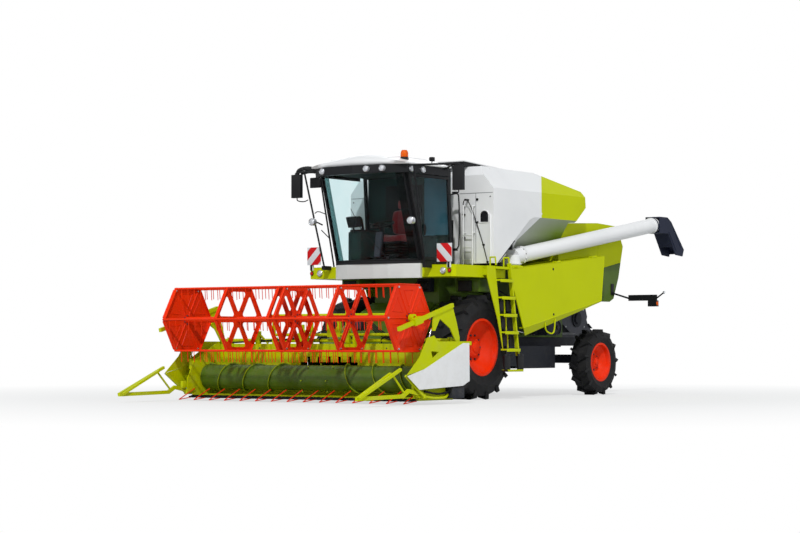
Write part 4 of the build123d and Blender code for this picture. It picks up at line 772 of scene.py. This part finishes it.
def roof_height(x, y):
    """A shallow arc from side to side that falls to the nose and stays high at the back."""
    across = max(0.0, 1 - (abs(x) / 0.955) ** 1.7)
    reach = (y - ROOF_MIDDLE_Y) / 0.74
    if reach < 0:
        along = max(0.0, 1 - abs(reach) ** 2.4) ** 0.55
    else:
        along = 1 - 0.1 * reach ** 2
    return ROOF_RIM_Z + ROOF_CROWN * across * along


def roof_point(u, v):
    """Plan place of a roof grid point: the front is bowed, the back is straight."""
    x = ROOF_HALF * sin(u * pi / 2)
    y = ROOF_MIDDLE_Y + ROOF_HALF_DEPTH * sin(v * pi / 2)
    if v < 0:
        y -= v * ROOF_BOW * (x / ROOF_HALF) ** 2
    return x, y


roof_mesh = bmesh.new()
rows = []
for i in range(ROOF_STEPS + 1):
    places = [roof_point(2 * i / ROOF_STEPS - 1, 2 * j / ROOF_STEPS - 1) for j in range(ROOF_STEPS + 1)]
    rows.append([roof_mesh.verts.new(shift((x, y, roof_height(x, y)))) for x, y in places])
for i in range(ROOF_STEPS):
    for j in range(ROOF_STEPS):
        roof_mesh.faces.new([rows[i][j], rows[i + 1][j], rows[i + 1][j + 1], rows[i][j + 1]])
border = [edge for edge in roof_mesh.edges if edge.is_boundary]
sides = bmesh.ops.extrude_edge_only(roof_mesh, edges=border)["geom"]
foot = [item for item in sides if isinstance(item, bmesh.types.BMVert)]
for vert in foot:
    vert.co.z = ROOF_FOOT_Z
    vert.co.x *= 0.992
rim = [item for item in sides if isinstance(item, bmesh.types.BMEdge) and item.is_boundary]
bmesh.ops.contextual_create(roof_mesh, geom=rim)
bmesh.ops.recalc_face_normals(roof_mesh, faces=roof_mesh.faces)
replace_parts(make_piece(roof_mesh, "roof_shell", "chassis", "white_paint"), "cab_roof")
for x in (-0.56, 0.56):
    white.tube([(x, y, roof_height(x, y)) for y in (-1.5, -1.35, -1.15, -0.95, -0.75, -0.55, -0.4)],
               0.01, 8, 1)
plastic.box((-0.925, -0.285, 3.722), (0.925, -0.268, 3.8), 0.004)

# Driver's seat: crowned cushions with bolsters and sewn channels
CUSHION_ROUNDING = 0.42


def rounded(along, first, second):
    """One coordinate of a cube's point, drawn in towards a ball."""
    a, b = CUSHION_ROUNDING * first ** 2, CUSHION_ROUNDING * second ** 2
    return along * (1 - a / 2 - b / 2 + a * b / 3) ** 0.5


def cushion(name, centre, size, turned, bolster, channels):
    """A padded block: width, depth and thickness in metres; turned stands it up as a backrest."""
    mesh = bmesh.new()
    bmesh.ops.create_cube(mesh, size=2.0)
    bmesh.ops.subdivide_edges(mesh, edges=mesh.edges, cuts=23, use_grid_fill=True)
    width, depth, thick = (value / 2 for value in size)
    for vert in mesh.verts:
        x, y, z = vert.co
        px, py, pz = rounded(x, y, z), rounded(y, x, z), rounded(z, x, y)
        if z > 0:
            swell = 0.55 + 0.25 * (1 - x * x) * (1 - y * y)
            if bolster:
                edge = max(0.0, (abs(x) - 0.58) / 0.42)
                swell += bolster * sin(min(1.0, edge * 1.4) * pi / 2) * (1 - max(0.0, abs(y) - 0.8) * 2.5)
            for place in channels:
                swell -= 0.22 * max(0.0, 1 - abs(y - place) / 0.055) * (1 if abs(x) < 0.62 else 0)
            if bolster:
                swell -= 0.2 * max(0.0, 1 - abs(abs(x) - 0.6) / 0.05)
            pz *= swell
        point = Vector((px * width, py * depth, pz * thick))
        if turned:
            point = Vector((point.x, -point.z, point.y))
        vert.co = shift(centre) + point
    bmesh.ops.recalc_face_normals(mesh, faces=mesh.faces)
    piece = make_piece(mesh, name, "chassis", "seat_fabric")
    modifier = piece.modifiers.new("round", "SUBSURF")
    modifier.levels = modifier.render_levels = 1
    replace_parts(piece, "seat")


cushion("seat_base", (0, -0.485, 2.612), (0.5, 0.47, 0.135), False, 0.42, (-0.35, 0.05, 0.45))
cushion("seat_back", (0, -0.255, 2.885), (0.48, 0.41, 0.115), True, 0.42, (-0.5, -0.1, 0.3))
cushion("seat_head", (0, -0.25, 3.175), (0.27, 0.15, 0.1), True, 0.0, ())
plastic.box((-0.215, -0.245, 2.69), (0.215, -0.205, 3.08), 0.012)
for x in (-0.06, 0.06):
    chrome.tube([(x, -0.235, 3.05), (x, -0.235, 3.15)], 0.007)
for z in steps(2.262, 0.044, 6):
    plastic.box((-0.15, -0.62, z), (0.15, -0.34, z + 0.036), 0.014)
plastic.box((-0.18, -0.64, 2.232), (0.18, -0.32, 2.262), 0.006)
black.box((-0.215, -0.69, 2.525), (0.215, -0.285, 2.56), 0.008)
for side in (-1, 1):
    plastic.box(*on_side(side, (0.255, -0.66, 2.8), (0.325, -0.28, 2.845)), 0.014)
    black.tube(flip(side, [(0.225, -0.245, 2.74), (0.275, -0.26, 2.78), (0.29, -0.3, 2.81)]), 0.014, 8, 1)
black.tube([(0.925, -0.105, 3.34), (0.965, -0.095, 3.28), (0.968, -0.095, 2.5), (0.925, -0.105, 2.42)],
           0.012, 10, 1)
for z in (3.34, 2.42):
    black.box((0.845, -0.125, z - 0.02), (0.935, -0.09, z + 0.02), 0.004)

# Tank front: seams, arched recesses with a black sheet as painted shade, grab rails, step grid and a clipped
# line
WALL_Y = 0.19
steel.tube([(-1.43, WALL_Y - 0.001, 3.345), (1.43, WALL_Y - 0.001, 3.345)], 0.0035, 6)
for side in (1, -1):
    steel.tube(flip(side, [(1.1, WALL_Y - 0.001, 2.22), (1.1, WALL_Y - 0.001, 3.34)]), 0.003, 6)
    centre = side * 1.265
    arch = [(centre - 0.085, 2.86)]
    for step in range(9):
        angle = pi - pi * step / 8
        arch.append((centre + 0.085 * cos(angle), 2.985 + 0.075 * sin(angle)))
    arch.append((centre + 0.085, 2.86))
    # Painted shade: a flat black sheet stands for the dark inside of each arched recess.
    plastic.loft([[(x, y, z) for x, z in arch] for y in (WALL_Y - 0.003, WALL_Y + 0.004)])
    rim = [(x, WALL_Y - 0.004, z) for x, z in arch]
    white.tube(rim + [rim[0]], 0.01)
    white.tube(flip(side, [(1.375, WALL_Y - 0.01, 2.99), (1.39, WALL_Y - 0.014, 2.9),
                           (1.39, WALL_Y - 0.014, 2.24)]), 0.016, 10, 1)
    plastic.turned(((0, 0.022), (0.016, 0.02), (0.018, 0.01)), (side * 1.13, WALL_Y, 3.24), FRONT, 20)
    for z in (2.3, 3.28):
        steel.bolt((side * 1.38, WALL_Y, z), FRONT, 0.01, 0.01)
for x in (0.9, 1.08):
    white.tube([(x, 0.12, 2.7), (x, 0.112, 2.45), (x, 0.112, 2.16)], 0.012, 10)
for z in (2.26, 2.46, 2.66):
    white.tube([(0.9, 0.113, z), (1.08, 0.113, z)], 0.01)
plastic.tube([(0.885, 0.15, 2.3), (0.885, 0.13, 3.1), (0.92, 0.1, 3.235), (1.0, 0.085, 3.235),
              (1.06, 0.1, 3.13), (1.14, 0.15, 2.86), (1.26, 0.165, 2.5), (1.345, 0.172, 2.18)], 0.0075, 8, 3)
for x, y, z in ((0.885, 0.14, 2.62), (0.885, 0.132, 3.0), (0.955, 0.096, 3.236), (1.135, 0.149, 2.87),
                (1.26, 0.163, 2.5), (1.335, 0.17, 2.22)):
    plastic.box((x - 0.014, y - 0.012, z - 0.014), (x + 0.014, WALL_Y + 0.002, z + 0.014), 0.003)

# Tank top: lid ribs and rim
for x in (-0.45, 0.0, 0.45):
    lid_white.tube([(x, 0.2, 3.8845), (x, 1.38, 3.82)], 0.009)
for side in (1, -1):
    white.tube(flip(side, [(1.125, 0.3, 3.788), (1.125, 0.9, 3.784)]), 0.01)

# Unloading tube: root struts, flanges, hose and swing cylinder
black.tube([(1.405, 0.33, 2.17), (1.405, 0.34, 2.21), (1.405, 0.8, 2.555), (1.418, 0.83, 2.59)], 0.024, 12)
plastic.tube([(1.36, 0.36, 2.17), (1.355, 0.42, 2.3), (1.36, 0.6, 2.43), (1.38, 0.76, 2.5)], 0.014, 10, 2)
silver.tube([(1.345, 0.44, 2.205), (1.345, 0.66, 2.37)], 0.032, 16)
chrome.tube([(1.345, 0.66, 2.37), (1.345, 0.79, 2.4675)], 0.014, 12)
black.box((1.3, 0.4, 2.15), (1.43, 0.5, 2.215), 0.006)
black.box((1.325, 0.77, 2.435), (1.41, 0.815, 2.52), 0.006)
dark.box((1.1, 0.3, 2.15), (1.28, 0.62, 2.27), 0.02)
tube_root = Vector((1.29, 1.0, 2.33))
tube_end = Vector((1.5, 5.42, 3.045))
along_tube = (tube_end - tube_root).normalized()
for reach, wide, deep in ((0.2, 0.15, 0.018), (0.225, 0.15, 0.018), (4.36, 0.144, 0.03)):
    spot = tube_root + along_tube * reach
    tube_white.turned(((0, 0.128), (0.0001, wide), (deep, wide), (deep + 0.0001, 0.128)),
                      spot, along_tube, 32)
for spot in around(tube_root + along_tube * 0.2, along_tube, 0.141, 10):
    tube_steel.bolt(spot, -along_tube, 0.007, 0.008)
tube_white.turned(((0, 0.15), (0.02, 0.15), (0.0205, 0.128)), (1.29, 1.0, 2.205), UP, 32)

# Spout: edge beads, clamp band and ribs
tube_rubber.turned(((0, 0.131), (0.004, 0.139), (0.05, 0.139), (0.054, 0.131)),
                   tube_root + along_tube * 4.385, along_tube, 32)
for x in (1.351, 1.649):
    tube_rubber.tube([(x, 5.66, 3.186), (x, 5.8, 3.112), (x, 6.284, 2.618)], 0.006, 6)
    tube_rubber.tube([(x, 5.72, 2.93), (x, 5.99, 2.6)], 0.01, 6)
    tube_rubber.tube([(x, 5.9, 2.98), (x, 6.17, 2.66)], 0.007, 6)

# Ladder: treads, risers, rubber flaps and foot
LADDER_HEAD_Y, LADDER_HEAD_Z = 0.07, 2.2
LADDER_HEIGHT, LADDER_REACH = 1.72, 0.29


def ladder_y(z):
    """Where the leaning ladder's front edge is at a height."""
    return LADDER_HEAD_Y + (LADDER_HEAD_Z - z) / LADDER_HEIGHT * LADDER_REACH


for z in (0.79, 1.07, 1.35, 1.63, 1.91):
    near = ladder_y(z)
    plastic.box((1.508, near + 0.03, z + 0.026), (1.612, near + 0.37, z + 0.031), 0.002)
    lime.box((1.617, near, z - 0.02), (1.624, near + 0.4, z + 0.03), 0.003)
    for y in steps(near + 0.045, 0.044, 8):
        black.box((1.512, y, z + 0.031), (1.608, y + 0.012, z + 0.036), 0.002)
for z in (0.8, 1.08, 1.36):
    y = ladder_y(z + 0.1)
    plastic.box((1.52, y + 0.045, z + 0.06), (1.532, y + 0.145, z + 0.235), 0.003)
    plastic.box((1.52, y + 0.235, z + 0.06), (1.532, y + 0.355, z + 0.235), 0.003)
    lime.tube([(1.526, y + 0.19, z + 0.03), (1.526, y + 0.175, z + 0.25)], 0.012)
for offset in (0.0, 0.4):
    y = ladder_y(0.6) + offset
    plastic.box((1.59, y - 0.075, 0.478), (1.604, y + 0.095, 0.735), 0.004)
    for z in (0.715, 0.5):
        for dy in (-0.045, 0.065):
            steel.bolt((1.604, y + dy, z), (1, 0, 0), 0.01, 0.008)
foot_y = ladder_y(0.46)
lime.box((1.5, foot_y - 0.025, 0.4725), (1.618, foot_y + 0.425, 0.48), 0.002)
lime.box((1.6205, foot_y - 0.028, 0.447), (1.628, foot_y + 0.428, 0.481), 0.003)

# Side panels: latches, edge beads and a grab loop that hangs from the lower edge
for side, body in ((1, "panel_left"), (-1, "panel_right")):
    for y, z in ((1.93, 2.15), (1.94, 1.39)):
        Batch(body, "black_plastic").turned(((0, 0.02), (0.006, 0.02), (0.008, 0.012)), (side * 1.5, y, z),
                                            (side, 0, 0), 16)
    panel = Batch(body, "lime_paint")
    panel.tube(flip(side, [(1.499, 1.004, 1.156), (1.499, 3.53, 1.648)]), 0.008)
    panel.tube(flip(side, [(1.496, 0.568, 2.098), (1.496, 1.004, 1.16)]), 0.009)
    panel.tube(flip(side, [(1.496, 3.634, 2.414), (1.496, 3.531, 1.655)]), 0.009)
    panel.tube(flip(side, [(1.486, 1.7, 1.29), (1.47, 1.72, 1.14), (1.462, 1.82, 1.085), (1.462, 1.96, 1.06),
                           (1.47, 2.02, 1.12), (1.486, 2.01, 1.35)]), 0.013, 10, 2)

# Belt drives on the body's sides, below the panels
for side in (1, -1):
    for y, z, radius, width in ((2.48, 1.36, 0.19, 0.06), (3.14, 1.5, 0.11, 0.06), (1.95, 1.5, 0.15, 0.052),
                                (1.3, 1.62, 0.23, 0.052), (3.36, 1.18, 0.13, 0.05)):
        centre = (side * 0.668, y, z)
        steel.turned(((0, radius), (0.006, radius * 0.97), (width * 0.5, radius * 0.86),
                      (width - 0.006, radius * 0.97), (width, radius), (width + 0.001, radius * 0.88),
                      (width * 0.6, radius * 0.82), (width * 0.6, radius * 0.3),
                      (width * 1.3, radius * 0.26), (width * 1.3, 0.004)), centre, (side, 0, 0), 32)
    for first, second, ra, rb in (((2.48, 1.36), (3.14, 1.5), 0.184, 0.106),
                                  ((1.95, 1.5), (1.3, 1.62), 0.144, 0.224)):
        gap = Vector((second[0] - first[0], second[1] - first[1]))
        across = Vector((-gap.y, gap.x)).normalized()
        for way in (1, -1):
            a = Vector(first) + across * ra * way
            b = Vector(second) + across * rb * way
            plastic.tube(flip(side, [(0.696, a.x, a.y), (0.696, b.x, b.y)]), 0.011)
    plastic.tube(flip(side, [(0.7, 0.62, 1.3), (0.73, 0.86, 1.28), (0.8, 1.24, 1.24), (0.82, 2.2, 1.08),
                             (0.7, 2.96, 1.1)]), 0.014, 8, 2)
    chrome.tube(flip(side, [(0.7, 0.62, 1.26), (0.735, 0.86, 1.24), (0.84, 1.24, 1.2), (0.86, 2.2, 1.05),
                            (0.7, 2.94, 1.06)]), 0.007, 8, 2)
    dark.box(*on_side(side, (0.74, 2.46, 1.04), (1.06, 2.74, 1.26)), 0.03)
    dark.box(*on_side(side, (0.36, 2.66, 0.66), (0.6, 3.34, 1.03)), 0.03)
    plastic.tube(flip(side, [(0.62, 2.62, 0.8), (0.64, 2.9, 0.74), (0.62, 3.3, 0.8)]), 0.016, 8, 2)

# Under the platform: valve block, pipes and the front axle's housings
for side in (1, -1):
    dark.turned(((0, 0.2), (0.05, 0.21), (0.12, 0.17), (0.15, 0.1)), (side * 0.66, 0.0, 0.841), (side, 0, 0),
                28)
dark.box((0.3, -0.335, 1.74), (0.56, -0.215, 1.963), 0.012)
for index in range(5):
    x = 0.335 + 0.048 * index
    chrome.tube([(x, -0.225, 1.78), (x, -0.17, 1.8), (x + 0.03, -0.05, 1.86 + 0.014 * index),
                 (x + 0.1, 0.1, 1.9 + 0.012 * index)], 0.008, 8, 2)
    plastic.tube([(x, -0.336, 1.9), (x, -0.4, 1.9), (x, -0.43, 1.85), (x, -0.4, 1.77), (x, -0.336, 1.77)],
                 0.01, 8, 2)
green.box((0.9, -0.1, 1.73), (1.36, 0.44, 1.96), 0.02)
green.box((-1.03, -0.6, 1.8), (-0.67, 0.02, 1.966), 0.015)
plastic.box((-0.98, -0.615, 1.84), (-0.74, -0.598, 1.93), 0.004)
plastic.box((0.98, -0.16, 1.74), (1.22, -0.1, 1.92), 0.015)
for x in (-1.3, -0.9, 0.9, 1.3):
    lime.box((x - 0.02, -0.958, 1.966), (x + 0.02, -0.4, 1.975), 0.003)

# Feeder throat: side seals at the table and the slatted chain inside
for side in (1, -1):
    header_green.box(*on_side(side, (0.602, -2.276, 0.192), (0.64, -2.062, 0.743)), 0.004)
for index in range(6):
    y = -2.02 + 0.12 * index
    z = 0.36 + 0.085 * index
    header_steel.box((-0.54, y, z), (0.54, y + 0.03, z + 0.035), 0.004)
for x in (-0.4, 0.0, 0.4):
    header_dark.tube([(x, -2.03, 0.352), (x, -1.4, 0.795)], 0.016)

# Knife: guard fingers and hold-down plates
FINGER_PITCH = 0.0762
FINGER = ((-3.0, 0.046), (-3.0, 0.092), (-3.05, 0.094), (-3.128, 0.066), (-3.128, 0.058), (-3.05, 0.046))
for x in steps(-2.1336, FINGER_PITCH, 57):
    header_frame.loft([[(end, y, z) for y, z in FINGER] for end in (x - 0.011, x + 0.011)])
for x in steps(-2.06, 3 * FINGER_PITCH, 19):
    header_frame.box((x - 0.03, -3.02, 0.077), (x + 0.03, -2.975, 0.087), 0.002)
    header_steel.bolt((x, -2.99, 0.086), UP, 0.008, 0.006)

# Table's back wall: stiffening ribs, bolts, posts, coupler and hoses
for x in steps(-2.0, 0.5, 9):
    if abs(x) > 0.7:
        header_lime.box((x - 0.02, -2.289, 0.78), (x + 0.02, -2.283, 0.885), 0.003)
        header_steel.bolt((x + 0.1, -2.282, 0.83), FRONT, 0.01, 0.008)
for x in (-0.9, -0.3, 0.3, 0.9):
    header_plastic.tube([(x, -2.13, 0.905), (x, -2.15, 0.98), (x + 0.12, -2.17, 1.012),
                         (x + 0.3, -2.19, 1.02)], 0.011, 8, 2)
for x, z_top in ((0.3, 1.43), (-0.62, 1.2), (1.46, 1.1), (-1.5, 1.1)):
    header_lime.box((x - 0.035, -2.225, 0.9), (x + 0.035, -2.155, z_top), 0.006)
    header_lime.tube([(x, -2.19, z_top - 0.03), (x + 0.16, -2.14, 0.905)], 0.018, 10)
header_plastic.box((0.44, -2.225, 1.1), (0.6, -2.135, 1.27), 0.015)
header_steel.box((0.46, -2.236, 1.13), (0.58, -2.222, 1.24), 0.006)
for index in range(4):
    z = 1.135 + 0.032 * index
    header_plastic.tube([(0.59, -2.18, z), (0.72, -2.19, z + 0.02), (0.92, -2.165, 1.0 + 0.03 * index),
                         (1.16, -2.16, 0.94 + 0.02 * index), (1.6, -2.2, 0.925), (2.05, -2.2, 0.915)],
                        0.011, 8, 3)
    header_chrome.tube([(0.56, -2.18, z), (0.6, -2.18, z)], 0.014, 10)
header_plastic.tube([(0.46, -2.18, 1.22), (0.2, -2.17, 1.26), (-0.2, -2.155, 1.1), (-0.6, -2.15, 0.99),
                     (-1.3, -2.17, 0.95), (-2.05, -2.2, 0.915)], 0.012, 8, 3)
header_lime.box((-0.1, -2.215, 1.0), (0.16, -2.165, 1.36), 0.01)
header_dark.turned(((0, 0.075), (0.02, 0.075), (0.024, 0.05), (0.05, 0.045), (0.05, 0.004)),
                   (0.03, -2.215, 1.2), FRONT, 24)
for x in steps(-0.5, 0.2, 6):
    header_lime.box((x - 0.072, -2.286, 0.612), (x + 0.072, -2.279, 0.702), 0.003)

# Blocks at the table's ends and the skids below them
for side in (1, -1):
    header_lime.box(*on_side(side, (2.215, -3.2, 0.2), (2.262, -3.05, 0.31)), 0.01)
    header_dark.box(*on_side(side, (2.196, -2.3, 0.085), (2.33, -1.98, 0.25)), 0.012)
    header_plastic.tube(flip(side, [(2.25, -2.92, 0.2), (2.27, -2.6, 0.15), (2.27, -2.3, 0.18),
                                    (2.25, -2.12, 0.3)]), 0.016, 8, 2)
    header_lime.tube(flip(side, [(2.24, -3.02, 0.16), (2.29, -2.86, 0.1), (2.29, -2.44, 0.095),
                                 (2.24, -2.3, 0.14)]), 0.02, 10, 2)

# Rear lamp arms: lenses and reflectors
REFLECTOR = ((0, 0.034), (0.008, 0.032), (0.012, 0.002))
for side in (1, -1):
    amber.turned(((0, 0.036), (0.006, 0.034), (0.01, 0.02), (0.011, 0.002)), (side * 1.86, 4.885, 1.612),
                 (side, 0, 0), 24)
    amber.turned(REFLECTOR, (side * 1.735, 4.93, 1.612), REAR, 24)
    red.turned(REFLECTOR, (side * 1.815, 4.93, 1.612), REAR, 24)
    lamp_cover.turned(((0.016, 0.017), (0.023, 0.016), (0.026, 0.002)), (side * 1.998, 4.875, 1.807),
                      (side * 0.8, -0.6, 0), 16)

# Rear hood: louvres, seams and handles
HOOD_FOOT_Y, HOOD_FOOT_Z = 4.62, 2.08
HOOD_EDGE_Y, HOOD_EDGE_Z = 4.78, 2.64
HOOD_FALL = 0.6
for z in steps(2.44, 0.035, 9):
    if z < HOOD_EDGE_Z:
        y = HOOD_FOOT_Y + (HOOD_EDGE_Y - HOOD_FOOT_Y) * (z - HOOD_FOOT_Z) / (HOOD_EDGE_Z - HOOD_FOOT_Z)
    else:
        y = HOOD_EDGE_Y - (z - HOOD_EDGE_Z) * HOOD_FALL
    dark.box((-0.62, y - 0.004, z), (0.62, y + 0.004, z + 0.016), 0.002, (16, 0, 0))
for side in (1, -1):
    face = side * 1.2205
    green.tube([(face, 3.65, 2.152), (face, 4.66, 2.336)], 0.007)
    lime.tube([(face, 3.895, 3.014), (face, 3.895, 2.2)], 0.004, 6)
    plastic.tube(flip(side, [(0.55, 4.64, 2.1), (0.55, 4.668, 2.11), (0.4, 4.668, 2.11), (0.4, 4.64, 2.1)]),
                 0.009, 8, 1)

# Straw chopper: rotor shaft ends and bolts
for side in (1, -1):
    dark.turned(((0, 0.15), (0.02, 0.15), (0.022, 0.1), (0.05, 0.09), (0.05, 0.005)),
                (side * 0.641, 4.12, 1.34), (side, 0, 0), 28)
    for y, z in ((3.75, 1.55), (3.75, 1.2), (4.35, 1.5), (4.38, 1.2)):
        chrome.bolt((side * 0.64, y, z), (side, 0, 0), 0.012, 0.01)

release_pieces()
